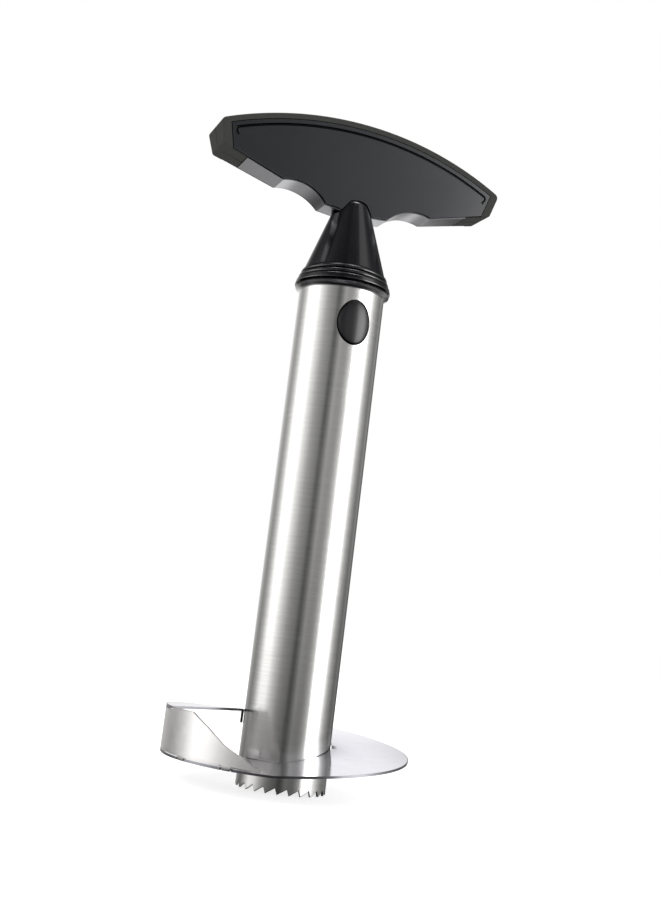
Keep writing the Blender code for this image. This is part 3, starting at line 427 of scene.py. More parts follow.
def make_world():
    """White for the camera and in reflections, and a softer fill for everything else."""
    world = bpy.data.worlds.new("studio_white")
    bpy.context.scene.world = world
    world.use_nodes = True
    tree = world.node_tree
    tree.nodes.clear()
    path = add_node(tree, "LightPath").outputs
    seen = combined(tree, "MAXIMUM", path["Is Camera Ray"], path["Is Glossy Ray"])
    seen = combined(tree, "MAXIMUM", seen, path["Is Transmission Ray"])
    fill = add_node(tree, "Background", {"Color": WHITE, "Strength": WORLD_FILL})
    white = add_node(tree, "Background", {"Color": WHITE, "Strength": 1.0})
    both = add_node(tree, "MixShader", {0: seen, 1: fill.outputs[0], 2: white.outputs[0]})
    add_node(tree, "OutputWorld", {"Surface": both.outputs[0]})


def make_floor():
    """A pale floor that keeps the object's shadow and throws some light up at the object."""
    bm = bmesh.new()
    bmesh.ops.create_circle(bm, cap_ends=True, segments=FLOOR_SIDES, radius=FLOOR_RADIUS)
    floor = from_bmesh("floor", bm)
    made, tree = new_material("floor_white")
    path = add_node(tree, "LightPath").outputs
    share = combined(tree, "MAXIMUM", path["Is Camera Ray"], FLOOR_BOUNCE)
    glow = add_node(tree, "Emission", {"Color": share, "Strength": FLOOR_GLOW})
    diffuse = add_node(tree, "BsdfDiffuse", {"Color": FLOOR_TONE})
    both = add_node(tree, "AddShader", {0: diffuse.outputs[0], 1: glow.outputs[0]})
    add_node(tree, "OutputMaterial", {"Surface": both.outputs[0]})
    floor.data.materials.append(made)
    floor.visible_glossy = False


def at_place(table, place):
    """The value at a place between the (place, value) pairs of a table."""
    for (first, low), (second, high) in zip(table, table[1:]):
        if place <= second:
            return mix(low, high, (place - first) / (second - first))
    return table[-1][1]


def share_between(value, start, full):
    """How far a value is on its way from start, where the share is 0, to full, where it is 1."""
    return min(max((value - start) / (full - start), 0), 1)


def wall_glow(turn, height):
    """The wall's glow at an angle and a height."""
    side = at_place(WALL_GLOW, turn) * at_place(HEIGHT_SHARES, height)
    glow = mix(at_place(FOOT_GLOW, turn), side, share_between(height, FOOT_LOW, FOOT_TOP))
    glow = mix(glow, at_place(TOP_GLOW, turn), share_between(height, TOP_START, TOP_FULL))
    return mix(glow, at_place(BACK_GLOW, height), share_between(abs(turn), BACK_START, BACK_FULL))


def make_reflection_wall():
    """A round wall of light and dark, over a disc, that only polished surfaces see."""
    bm = bmesh.new()
    glow_layer = bm.verts.layers.float_color.new("glow")

    def lit(radius, angle, z, glow):
        """A vertex with its glow."""
        vertex = bm.verts.new(polar(radius, angle, z))
        vertex[glow_layer] = (glow, glow, glow, 1)
        return vertex

    columns, spokes = [], []
    for turn in range(-180, 180, WALL_STEP):
        angle = CAMERA_AZIMUTH - math.pi / 2 + math.radians(turn)
        columns.append([lit(WALL_RADIUS, angle, z, wall_glow(turn, z)) for z in WALL_ROWS])
        glow = at_place(DISC_GLOW, abs(turn))
        spokes.append([lit(radius, angle, DISC_Z, glow) for radius in (DISC_HOLE, WALL_RADIUS)])
    for index, column in enumerate(columns):
        before = columns[index - 1]
        for row in range(len(WALL_ROWS) - 1):
            bm.faces.new((before[row], column[row], column[row + 1], before[row + 1]))
        bm.faces.new((*spokes[index - 1], *reversed(spokes[index])))
    wall = from_bmesh("reflection_wall", bm)
    made, tree = new_material("wall_glow")
    colour = add_node(tree, "Attribute", attribute_name="glow").outputs["Color"]
    glow = add_node(tree, "Emission", {"Color": colour})
    add_node(tree, "OutputMaterial", {"Surface": glow.outputs[0]})
    wall.data.materials.append(made)
    wall.visible_camera = False
    wall.visible_diffuse = False
    wall.visible_transmission = False
    wall.visible_shadow = False


def make_lamp(name, place, size, power):
    """A soft square lamp that faces the object."""
    data = bpy.data.lights.new(name, "AREA")
    data.shape = "SQUARE"
    data.size = size
    data.energy = power
    lamp = linked(name, data)
    lamp.location = place
    aim = Vector((0, 0, CAMERA_AIM_Z)) - Vector(place)
    lamp.rotation_euler = aim.to_track_quat("-Z", "Y").to_euler()
    lamp.visible_camera = False
    lamp.visible_glossy = False


def make_studio():
    make_camera()
    make_world()
    make_floor()
    make_reflection_wall()
    for lamp in LAMPS:
        make_lamp(*lamp)
    bpy.context.scene.view_settings.view_transform = "Standard"


def noise(tree, scale, detail, roughness=CLOUD_ROUGHNESS):
    """A noise pattern in the object's own coordinates, with scale spots to the metre."""
    place = add_node(tree, "TexCoord").outputs["Object"]
    stretched = add_node(tree, "Mapping", {"Vector": place, "Scale": scale}).outputs["Vector"]
    inputs = {"Vector": stretched, "Scale": 1.0, "Detail": detail, "Roughness": roughness}
    return add_node(tree, "TexNoise", inputs).outputs["Fac"]


def ranged(tree, value, low, high, span=NOISE_SPAN):
    """The value carried from a span to the range from low to high."""
    inputs = {"Value": value, "From Min": span[0], "From Max": span[1], "To Min": low, "To Max": high}
    return add_node(tree, "MapRange", inputs).outputs["Result"]


def blended(tree, share, first, second):
    """A colour between two colours."""
    inputs = {"Factor": share, "A": first, "B": second}
    return add_node(tree, "Mix", inputs, data_type="RGBA").outputs["Result"]


def bumped(tree, height, strength, distance):
    """A normal that follows a height pattern."""
    inputs = {"Height": height, "Strength": strength, "Distance": distance}
    return add_node(tree, "Bump", inputs).outputs["Normal"]


def marked(tree, name):
    """How far each point of a mesh carries a mark."""
    return add_node(tree, "Attribute", attribute_name=name).outputs["Fac"]


def surfaced(tree, inputs):
    """Makes the surface shader with these inputs the material's surface."""
    shader = add_node(tree, "BsdfPrincipled", inputs)
    add_node(tree, "OutputMaterial", {"Surface": shader.outputs[0]})
    return shader


def brushed_steel(name, light, dark, roughness, grain, depth, ground_and_painted_shade=None, raw_shine=None):
    """Steel with fine scratches along the directions in which grain is small. Where a mesh
    carries its dark mark it is darker and duller, which is grinding in some places and painted
    shade in others, and where it is marked as raw it is matt and pale."""
    made, tree = new_material(name)
    fine = noise(tree, grain, GRAIN_DETAIL, GRAIN_ROUGHNESS)
    cloud = noise(tree, STEEL_CLOUD, STEEL_CLOUD_DETAIL)
    tone = blended(tree, ranged(tree, fine, 0, 1), dark, light)
    low, high = STEEL_SPREAD
    spread = ranged(tree, fine, roughness * low, roughness * high)
    spread = combined(tree, "ADD", spread, ranged(tree, cloud, *STEEL_PATCHES))
    if ground_and_painted_shade:
        # Grinding and painted shade: darker and duller where the mesh is marked
        share = marked(tree, "ground_and_painted_shade")
        tone = blended(tree, share, tone, ground_and_painted_shade)
        dull = ranged(tree, share, 0.0, GROUND_ROUGHNESS, MARK_SPAN)
        spread = combined(tree, "ADD", spread, dull)
    normal = bumped(tree, fine, STEEL_BUMP, depth)
    inputs = {"Base Color": tone, "Metallic": 1.0, "Roughness": spread, "Normal": normal}
    shader = surfaced(tree, inputs)
    if raw_shine:
        metal = ranged(tree, marked(tree, "raw"), raw_shine, RAW_SHINE, MARK_SPAN)
        tree.links.new(metal, shader.inputs["Metallic"])
    return made


def satin_plastic(name, base, worn, roughness, texture, depth, by_edge=True, painted_hollow_shade=False, gloss=None):
    """Moulded plastic with a fine texture that is worn lighter along its edges, or else in
    patches. Where shade is painted in its hollows, the places that a mesh marks are black and,
    as black metal does, give back hardly any light: painted shade in grooves and gaps."""
    made, tree = new_material(name)
    inputs = dict(gloss or {})
    cloud = noise(tree, PLASTIC_CLOUD, PLASTIC_CLOUD_DETAIL)
    fine = noise(tree, (texture, texture, texture), TEXTURE_DETAIL)
    wear = marked(tree, "edge") if by_edge else ranged(tree, cloud, 0, 1)
    inputs["Base Color"] = blended(tree, wear, base, worn)
    if painted_hollow_shade:
        # Painted shade: black, and black metal, in the marked hollows
        share = marked(tree, "ground_and_painted_shade")
        inputs["Base Color"] = blended(tree, share, inputs["Base Color"], PAINTED_SHADE_BLACK)
        inputs["Metallic"] = share
    low, high = PLASTIC_SPREAD
    inputs["Roughness"] = ranged(tree, cloud, roughness * low, roughness * high)
    inputs["Normal"] = bumped(tree, fine, PLASTIC_BUMP, depth)
    surfaced(tree, inputs)
    return made


def make_finishes():
    """The finishes, by the record's slot names and the cutter's own."""
    finishes = {name: brushed_steel(name, **values) for name, values in STEELS.items()}
    for name, values in PLASTICS.items():
        finishes[name] = satin_plastic(name, **values)
    return finishes


def linked(name, data):
    """A new object in the scene that holds the data."""
    obj = bpy.data.objects.new(name, data)
    bpy.context.scene.collection.objects.link(obj)
    return obj


def face_out(bm):
    """Turns the faces of a closed mesh outward."""
    bmesh.ops.recalc_face_normals(bm, faces=bm.faces)
    if bm.calc_volume(signed=True) < 0:
        bmesh.ops.reverse_faces(bm, faces=bm.faces)


def from_bmesh(name, bm):
    """An object that holds the bmesh."""
    mesh = bpy.data.meshes.new(name)
    bm.to_mesh(mesh)
    bm.free()
    return linked(name, mesh)


def modify(obj, kind, name, **settings):
    """Adds a modifier."""
    modifier = obj.modifiers.new(name, kind)
    for key, value in settings.items():
        setattr(modifier, key, value)


def made_mesh(obj):
    """What the object's curve or modifiers make, as a mesh of its own."""
    bpy.context.view_layer.update()
    graph = bpy.context.evaluated_depsgraph_get()
    return bpy.data.meshes.new_from_object(obj.evaluated_get(graph))


def applied(obj):
    """The object with what its modifiers make as its own mesh."""
    mesh = made_mesh(obj)
    obj.modifiers.clear()
    obj.data = mesh
    return obj


def boolean(obj, operation, *others):
    """Cuts the others away or melts them into the object, and removes them."""
    for other in others:
        modify(obj, "BOOLEAN", "boolean", operation=operation, object=other)
    applied(obj)
    for other in others:
        bpy.data.objects.remove(other, do_unlink=True)


def thickened(obj, thickness, offset, group=""):
    """Makes a sheet a wall, which is thinner where the weights of its vertex group are small."""
    modify(
        obj, "SOLIDIFY", "wall", thickness=thickness, offset=offset, vertex_group=group,
        thickness_vertex_group=0.0,
    )
    return applied(obj)


def rounded(obj, width):
    """Rounds the sharp edges, marks them as edge for the finishes and shades the rest smooth."""
    obj.data.materials.clear()
    obj.data.materials.append(None)
    obj.data.materials.append(None)
    bm = bmesh.new()
    bm.from_mesh(obj.data)
    bmesh.ops.remove_doubles(bm, verts=bm.verts, dist=SLIVER)
    bmesh.ops.dissolve_degenerate(bm, edges=bm.edges, dist=SLIVER)
    bm.to_mesh(obj.data)
    bm.free()
    modify(
        obj, "BEVEL", "edges", width=width, segments=EDGE_SEGMENTS, limit_method="ANGLE",
        angle_limit=BEVEL_ANGLE, miter_outer="MITER_ARC", material=1,
    )
    applied(obj)
    faces = obj.data.polygons
    on_face = {index for face in faces if not face.material_index for index in face.vertices}
    edge_marks = obj.data.attributes.new("edge", "FLOAT", "POINT")
    for index, place in enumerate(edge_marks.data):
        place.value = 0.0 if index in on_face else 1.0
    for face in faces:
        face.material_index = 0
    obj.data.shade_smooth()
    obj.data.set_sharp_from_angle(angle=SHARP_ANGLE)
    modify(obj, "WEIGHTED_NORMAL", "flat_faces", keep_sharp=True, weight=FLAT_WEIGHT)
    applied(obj)
    mesh = obj.data
    corners = [Vector(corner.vector) for corner in mesh.corner_normals]
    for face in mesh.polygons:
        if face.area > FLAT_AREA:
            for loop in face.loop_indices:
                corners[loop] = face.normal.copy()
    mesh.normals_split_custom_set(corners)


def turned_normals(obj):
    """Gives faces of the turned surface normals that point straight out from the axis."""
    mesh = obj.data
    corners = [Vector(corner.vector) for corner in mesh.corner_normals]
    for face in mesh.polygons:
        out = Vector((face.center.x, face.center.y, 0)).normalized()
        flat = Vector((face.normal.x, face.normal.y, 0))
        if flat.length < WELD or abs(flat.normalized().dot(out)) < math.cos(TURNED_LIMIT):
            continue
        side = 1 if flat.dot(out) > 0 else -1
        for loop in face.loop_indices:
            spot = mesh.vertices[mesh.loops[loop].vertex_index].co
            radial = Vector((spot.x, spot.y, 0)).normalized() * side
            rise = corners[loop].z
            corners[loop] = radial * math.sqrt(max(1 - rise**2, 0)) + Vector((0, 0, rise))
    mesh.normals_split_custom_set(corners)


def dress(obj, finish, body, slot, *nodes):
    """Gives a piece its material, the body it moves with and the solids it stands for."""
    obj.data.materials.clear()
    obj.data.materials.append(finish)
    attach(obj, body)
    if nodes:
        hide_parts(*nodes)


def mark(obj, name, share_at):
    """Stores how far each point carries a mark for its finish to show: grinding, burn, painted shade and
    raw steel.
    """
    marks = obj.data.attributes.new(name, "FLOAT", "POINT")
    for vertex, place in zip(obj.data.vertices, marks.data):
        place.value = min(max(share_at(vertex.co), 0.0), 1.0)


def mix(low, high, share):
    """The value at a share of the way from low to high."""
    return low + (high - low) * share


def polar(radius, angle, z):
    return Vector((radius * math.cos(angle), radius * math.sin(angle), z))


def sheet(name, columns, rows, place):
    """A grid of quads whose corners go where place(column, row share) says."""
    bm = bmesh.new()
    bmesh.ops.create_grid(bm, x_segments=columns, y_segments=rows, size=1.0)
    for vertex in bm.verts:
        column = round((vertex.co.x + 1) / 2 * columns)
        row_share = (vertex.co.y + 1) / 2
        vertex.co = place(column, row_share)
    bmesh.ops.remove_doubles(bm, verts=bm.verts, dist=WELD)
    return from_bmesh(name, bm)


def loft(name, loops, closed=False):
    """A solid through loops of points, with caps at its ends unless it is closed in a ring."""
    bm = bmesh.new()
    rings = [[bm.verts.new(spot) for spot in loop] for loop in loops]
    for index in range(0 if closed else 1, len(rings)):
        last, ring = rings[index - 1], rings[index]
        for corner in range(len(ring)):
            bm.faces.new((last[corner - 1], last[corner], ring[corner], ring[corner - 1]))
    if not closed:
        bm.faces.new(rings[0])
        bm.faces.new(rings[-1])
    face_out(bm)
    return from_bmesh(name, bm)


def turned(name, profile, steps=TURN_STEPS):
    """A profile of (radius, z) turned about Z. Its outer side runs from top to bottom."""
    bm = bmesh.new()
    points = [bm.verts.new((radius, 0, z)) for radius, z in profile]
    for first, second in zip(points, points[1:]):
        bm.edges.new((first, second))
    obj = from_bmesh(name, bm)
    modify(
        obj, "SCREW", "turn", axis="Z", steps=steps, render_steps=steps, use_merge_vertices=True,
        merge_threshold=WELD,
    )
    return applied(obj)


def rounded_path(corners, steps=CORNER_STEPS):
    """The path through corners of (x, z, fillet radius), each with a radius made an arc."""
    path = []
    for index, (x, z, radius) in enumerate(corners):
        here = Vector((x, z))
        if not radius:
            path.append(here)
            continue
        to_last = (Vector(corners[index - 1][:2]) - here).normalized()
        to_next = (Vector(corners[index + 1][:2]) - here).normalized()
        half = to_last.angle(to_next) / 2
        centre = here + (to_last + to_next).normalized() * radius / math.sin(half)
        start = here + to_last * radius / math.tan(half) - centre
        finish = here + to_next * radius / math.tan(half) - centre
        for step in range(steps + 1):
            path.append(centre + start.lerp(finish, step / steps).normalized() * radius)
    return path


def tube_profile():
    """(radius, z) of the tube's outer and inner sides, both from above the teeth to the mouth."""
    outer = []
    for row in range(TUBE_ROWS + 1):
        outer.append(Vector((TUBE_RADIUS, mix(TOOTH_BAND, MOUTH_Z, row / TUBE_ROWS))))
    for step in range(1, MOUTH_STEPS + 1):
        share = step / MOUTH_STEPS
        radius = TUBE_RADIUS + MOUTH_FLARE * share**MOUTH_POWER
        outer.append(Vector((radius, MOUTH_Z + MOUTH_LENGTH * share)))
    inner = []
    for index, point in enumerate(outer):
        before = outer[max(index - 1, 0)]
        after = outer[min(index + 1, len(outer) - 1)]
        along = (after - before).normalized()
        inner.append(point + Vector((-along.y, along.x)) * TUBE_WALL)
    return outer, inner


def tooth_foot(point):
    """Height of the serrated edge at the point's angle round the tube."""
    turn = math.atan2(point.y, point.x) - FIRST_TOOTH
    share = turn * TOOTH_COUNT / math.tau % 1
    if share < TOOTH_RISE_SHARE:
        return TOOTH_DEPTH * share / TOOTH_RISE_SHARE
    return TOOTH_DEPTH * (1 - share) / (1 - TOOTH_RISE_SHARE)


def make_tube(finish):
    outer, inner = tube_profile()

    def section(column):
        tooth, station = divmod(column, TOOTH_COLUMNS)
        rise = station / (TOOTH_COLUMNS - 1)
        angle = FIRST_TOOTH + (tooth + TOOTH_RISE_SHARE * rise) * math.tau / TOOTH_COUNT
        foot = TOOTH_DEPTH * rise
        loop = [polar(TUBE_RADIUS, angle, foot), polar(TUBE_RADIUS, angle, foot + TOOTH_GROUND)]
        loop += [polar(radius, angle, z) for radius, z in outer]
        loop += [polar(radius, angle, z) for radius, z in reversed(inner)]
        bore = TUBE_RADIUS - TUBE_WALL
        loop += [polar(bore, angle, foot + TOOTH_GROUND), polar(bore, angle, foot)]
        return loop

    columns = range(TOOTH_COUNT * TOOTH_COLUMNS)
    tube = loft("coring_tube", [section(column) for column in columns], closed=True)
    boolean(tube, "DIFFERENCE", make_button_opening())
    rounded(tube, FINE_EDGE)
    turned_normals(tube)

    def ground_and_painted_shade(point):
        """One at the teeth's edge, and painted shade in the flare of the mouth, fading out towards the
        angle MOUTH_SIDE and its opposite.
        """
        mouth = (point.z - MOUTH_Z) / MOUTH_DARK_RISE
        across = abs(math.sin(math.atan2(point.y, point.x) - MOUTH_SIDE))
        away = (across - MOUTH_SIDE_SHARE) / MOUTH_SIDE_SHARE
        tooth = 1 - (point.z - tooth_foot(point)) / TOOTH_GROUND
        return max(tooth, min(mouth, away))

    mark(tube, "ground_and_painted_shade", ground_and_painted_shade)
    dress(tube, finish, "slicer", "tube_steel", "tube")


def make_button_opening():
    """An oval cutter along Y for both button holes."""
    bm = bmesh.new()
    size = (BUTTON_HALF_HEIGHT + GAP, BUTTON_HALF_WIDTH + GAP, 2 * (TUBE_RADIUS + OVERRUN))
    turn = Vector((0, 1, 0)).to_track_quat("Z", "X").to_matrix().to_4x4()
    place = Matrix.Translation((0, 0, BUTTON_Z)) @ turn @ Matrix.Diagonal((*size, 1))
    bmesh.ops.create_cone(
        bm, cap_ends=True, segments=HOLE_SIDES, radius1=1.0, radius2=1.0, depth=1.0, matrix=place
    )
    return from_bmesh("button_holes", bm)


def blade_z(angle):
    """Height of the blade's rim at an angle counted from its lower lead."""
    share = share_between(angle, CLIMB_START, CLIMB_FINISH)
    return BLADE_LOW_Z + BLADE_CLIMB * (1 - (1 - share) ** CLIMB_POWER)


def straight_edge(tube_angle, rim_angle, share):
    """(radius, angle) at a share of the straight line from the tube to the rim."""
    point = polar(BLADE_INNER, tube_angle, 0).lerp(polar(BLADE_RADIUS, rim_angle, 0), share)
    turn = point.xy.angle_signed(polar(1, tube_angle, 0).xy)
    return point.length, tube_angle + turn


def blade_place(column, row_share):
    """A point of the blade's middle surface; row share 0 is at the tube and 1 at the rim. The
    rows are even but for the last one on each side, which bounds the strip marked by grinding."""
    strip = RIM_GROUND / (BLADE_RADIUS - BLADE_INNER)
    even = (row_share * BLADE_ROWS - 1) / (BLADE_ROWS - 2)
    if 0 < row_share < 1:
        row_share = mix(strip, 1 - strip, even)
    lead_radius, lead_angle = straight_edge(LEAD_AT_TUBE, LEAD_AT_RIM, row_share)
    end_radius, end_angle = straight_edge(END_AT_TUBE, END_AT_RIM, row_share)
    share = column / BLADE_COLUMNS
    angle = mix(lead_angle, end_angle, share)
    radius = mix(lead_radius, end_radius, share)
    return polar(radius, angle, blade_z(angle) + BLADE_DISH * (1 - row_share))


def thin_edge(obj, on_edge):
    """A vertex group that thins the wall to a cutting edge where on_edge(point) is true."""
    group = obj.vertex_groups.new(name="full_thickness")
    for vertex in obj.data.vertices:
        weight = EDGE_SHARE if on_edge(vertex.co) else 1.0
        group.add([vertex.index], weight, "REPLACE")
    return group.name


def make_tab(name, angle, drop):
    """A tab of the blade that lies on the tube and hangs down from the blade's inner edge."""
    top = blade_z(angle) + BLADE_DISH + TAB_RISE

    def place(column, row_share):
        turn = TAB_WIDTH * (column / TAB_COLUMNS - 1 / 2)
        return polar(TUBE_RADIUS + GAP, angle + turn, mix(top - drop, top, row_share))

    return thickened(sheet(name, TAB_COLUMNS, 1, place), BLADE_THICKNESS, 1)


def make_notch(angle):
    """A cutter for the notch in the blade's rim that a foot of the rim cutter drops into."""
    half = BLADE_RADIUS * math.tan(FOOT_HALF_WIDTH) + GAP
    low = Vector((BLADE_RADIUS - NOTCH_DEPTH, -half, BLADE_LOW_Z - OVERRUN))
    high = Vector((BLADE_RADIUS + OVERRUN, half, BLADE_LOW_Z + OVERRUN))
    place = Matrix.Translation((low + high) / 2) @ Matrix.Diagonal((*(high - low), 1))
    bm = bmesh.new()
    bmesh.ops.create_cube(bm, size=1.0, matrix=place)
    notch = from_bmesh("rim_notch", bm)
    notch.rotation_euler.z = angle
    return notch


def blade_ground_and_painted_shade(point):
    """How far a point of the blade is marked: grinding at its rim and ends, burn and painted shade
    at its welded seams, and painted shade on the end faces of its notches.
    """
    radius = math.hypot(point.x, point.y)
    turn = math.atan2(point.y, point.x)
    shares = [RIM_SHARE * (1 - (BLADE_RADIUS - radius) / RIM_GROUND)]
    # Burn and painted shade at the welded seams beside the tabs
    for angle in (*TAB_ANGLES, END_TAB_ANGLE):
        off = abs(math.remainder(turn - angle, math.tau)) / TAB_WIDTH
        shares.append(min(1 - (radius - SEAM_RADIUS) / RIM_GROUND, (1 - off) / TAB_BURN_AND_SHADE_SHARE))
    # Painted shade on the end faces of the notches that the cutter's feet drop into
    if radius > BLADE_RADIUS - NOTCH_DEPTH - RIM_GROUND:
        for angle in FOOT_ANGLES:
            off = abs(math.remainder(turn - angle, math.tau)) - FOOT_HALF_WIDTH
            shares.append(1 - abs(off * radius - GAP) / RIM_GROUND)
    for column in (0, BLADE_COLUMNS):
        start, finish = blade_place(column, 0), blade_place(column, 1)
        along = (point - start).dot(finish - start) / (finish - start).length_squared
        off = (point - start.lerp(finish, along)).length - BLADE_THICKNESS / 2
        shares.append(END_SHARE * (1 - off / RIM_GROUND))
    return max(shares)


def make_blade(finish):
    blade = sheet("slicing_blade", BLADE_COLUMNS, BLADE_ROWS, blade_place)
    lead = [blade_place(0, row / BLADE_ROWS) for row in range(BLADE_ROWS + 1)]
    group = thin_edge(blade, lambda point: min((point - place).length for place in lead) < WELD)
    thickened(blade, BLADE_THICKNESS, 0, group)
    tabs = [make_tab(f"tab_{index}", angle, TAB_DROP) for index, angle in enumerate(TAB_ANGLES)]
    tabs.append(make_tab("tab_end", END_TAB_ANGLE, END_TAB_DROP))
    boolean(blade, "UNION", *tabs)
    boolean(blade, "DIFFERENCE", *[make_notch(angle) for angle in FOOT_ANGLES])
    rounded(blade, FINE_EDGE)
    mark(blade, "ground_and_painted_shade", blade_ground_and_painted_shade)
    dress(blade, finish, "slicer", "blade_steel", "spiral_blade")


def cutter_stations():
    """(angle, bottom z, top z) along the upright cutter, from its cutting edge to its tail."""
    rest = BLADE_LOW_Z + BLADE_THICKNESS / 2 + GAP
    foot = BLADE_LOW_Z - BLADE_THICKNESS / 2
    under_end = BLADE_LOW_Z + BLADE_CLIMB - BLADE_THICKNESS / 2 - GAP
    beyond_end = BLADE_LOW_Z + BLADE_CLIMB + BLADE_THICKNESS / 2
    slope = [(CUTTER_START, under_end), (CUTTER_STEP - FOOT_TAPER, under_end)]
    slope += [(CUTTER_STEP, beyond_end), (CUTTER_SHOULDER, beyond_end)]
    for angle_share, height_share in CUTTER_SLOPE_SHARES:
        angle = mix(CUTTER_SHOULDER, CUTTER_FINISH, angle_share)
        slope.append((angle, mix(rest, beyond_end, height_share)))
    corners = {angle for angle, _ in slope}
    inner = FOOT_HALF_WIDTH - FOOT_TAPER
    for middle in FOOT_ANGLES:
        corners |= {middle + turn for turn in (-FOOT_HALF_WIDTH, -inner, inner, FOOT_HALF_WIDTH)}
    count = math.ceil((CUTTER_FINISH - CUTTER_START) / CUTTER_COLUMN_ANGLE)
    angles = sorted(corners)
    for step in range(count):
        angle = mix(CUTTER_START, CUTTER_FINISH, step / count)
        if min(abs(angle - other) for other in angles) > CUTTER_COLUMN_ANGLE / 2:
            angles.append(angle)
    stations = []
    for angle in sorted(angles):
        in_foot = any(abs(angle - middle) < FOOT_HALF_WIDTH - FOOT_TAPER / 2 for middle in FOOT_ANGLES)
        stations.append((angle, foot if in_foot else rest, at_place(slope, angle)))
    return stations


def make_rim_cutter(finish):
    stations = cutter_stations()
    radius = BLADE_RADIUS - CUTTER_THICKNESS

    def place(column, row_share):
        angle, bottom, top = stations[column]
        if 0 < row_share < 1:
            even = row_share * CUTTER_ROWS / (CUTTER_ROWS - 1)
            ground_from = max(top - RIM_GROUND, (bottom + top) / 2)
            return polar(radius, angle, mix(bottom, ground_from, even))
        return polar(radius, angle, mix(bottom, top, row_share))

    def ground_and_painted_shade(point):
        turn = math.atan2(point.y, point.x) % math.tau
        _, _, top = min(stations, key=lambda station: abs(station[0] - turn))
        # Painted shade along the cutter's lower edge, full on the feet that drop into the blade's
        # notches
        under = 1 - (point.z - BLADE_LOW_Z) / BLADE_THICKNESS
        return max(RIM_SHARE * (1 - (top - point.z) / RIM_GROUND), under)

    cutter = sheet("upright_cutter", len(stations) - 1, CUTTER_ROWS, place)
    edge = polar(radius, CUTTER_START, 0)
    group = thin_edge(cutter, lambda point: (point.xy - edge.xy).length < WELD)
    thickened(cutter, CUTTER_THICKNESS, 1, group)
    rounded(cutter, FINE_EDGE)
    turned_normals(cutter)
    mark(cutter, "ground_and_painted_shade", ground_and_painted_shade)
    middle = BLADE_RADIUS - CUTTER_THICKNESS / 2
    mark(cutter, "raw", lambda point: (middle - math.hypot(point.x, point.y)) / FINE_EDGE)
    dress(cutter, finish, "slicer", "blade_steel", "rim_cutter")


def collar_profile(grow=0.0):
    """The collar's outer side from its nose down to its foot, grown sideways by grow."""
    top = HANDLE_Z + NOSE_HEIGHT + grow
    foot_radius = COLLAR_RADIUS * CONE_FOOT_SHARE
    slope = (foot_radius - CONE_TOP_RADIUS) / (HANDLE_LIFT - RINGS_HEIGHT)
    nose_radius = CONE_TOP_RADIUS - slope * NOSE_HEIGHT
    corners = [(0, top, 0), (nose_radius + grow, top, NOSE_FILLET)]
    corners.append((foot_radius + grow, COLLAR_Z + RINGS_HEIGHT, 0))
    for top_radius, top_height, low_radius, low_height in RING_SHARES:
        groove = COLLAR_RADIUS * top_radius - RING_GROOVE + grow
        edge = COLLAR_Z + RINGS_HEIGHT * top_height
        corners.append((groove, edge + RING_SHOULDER, 0))
        corners.append((COLLAR_RADIUS * top_radius + grow, edge, RING_FILLET))
        low = COLLAR_Z + RINGS_HEIGHT * low_height
        corners.append((COLLAR_RADIUS * low_radius + grow, low, RING_FILLET))
    corners.append((COLLAR_RADIUS + grow, COLLAR_Z, 0))
    return rounded_path(corners, RING_STEPS)


def wedge_half(z):
    """Half the handle's thickness at a height: it widens from its underside to its top."""
    share = (z - HANDLE_Z) / HANDLE_HEIGHT
    return mix(STRIP_HALF_THICKNESS, TOP_HALF_THICKNESS, share)


def wedge(name, outline, front, back):
    """An XZ outline made solid between two faces of the handle's wedge. front and back are
    (side, offset): side is the sign of the wedge's half thickness and offset is added along Y."""
    loops = []
    for side, offset in (front, back):
        loops.append([(x, side * wedge_half(z) + offset, z) for x, z in outline])
    return loft(name, loops)


def recess_arc():
    """The finger recess in the underside, from its inner to its outer corner."""
    inner = Vector((RECESS_INNER_X, HANDLE_Z + UNDERSIDE_RISE))
    outer = Vector((RECESS_OUTER_X, HANDLE_Z + RECESS_OUTER_RISE))
    half_chord = (outer - inner).length / 2
    radius = (half_chord**2 + RECESS_DEPTH**2) / (2 * RECESS_DEPTH)
    across = (outer - inner).normalized()
    centre = (inner + outer) / 2 + Vector((across.y, -across.x)) * (radius - RECESS_DEPTH)
    points = []
    for step in range(RECESS_STEPS + 1):
        arm = (inner - centre).lerp(outer - centre, step / RECESS_STEPS)
        points.append(centre + arm.normalized() * radius)
    return points


def underside_z(x):
    """Height of the straight stretch of the underside beyond the recess."""
    return HANDLE_Z + RECESS_OUTER_RISE + UNDERSIDE_SLOPE * (x - RECESS_OUTER_X)


def top_z(x, inset=0.0):
    """Height of the top arc, or of one that lies inset inside it."""
    centre = HANDLE_Z + HANDLE_HEIGHT - HANDLE_TOP_RADIUS
    return centre + math.sqrt((HANDLE_TOP_RADIUS - inset) ** 2 - x**2)


def end_x(z, inset=0.0):
    """X of the handle's leaning end at a height, or of a line that lies inset inside it."""
    low_z = underside_z(HANDLE_HALF_LENGTH - END_LEAN)
    high_z = top_z(HANDLE_HALF_LENGTH)
    lean = END_LEAN / (high_z - low_z)
    return HANDLE_HALF_LENGTH + lean * (z - high_z) - inset * math.hypot(1, lean)


def end_corner(height_at_x, inset):
    """Where the line at inset inside the handle's end meets the line z = height_at_x(x)."""
    x = HANDLE_HALF_LENGTH - inset
    for _ in range(SETTLE_ROUNDS):
        x = end_x(height_at_x(x), inset)
    return Vector((x, height_at_x(x)))


def top_arc(corner, inset):
    """Points of the top arc from a little inside a corner to the middle."""
    start = corner.x * ARC_START_SHARE
    xs = [start * (1 - step / TOP_STEPS) for step in range(TOP_STEPS + 1)]
    return [Vector((x, top_z(x, inset))) for x in xs]


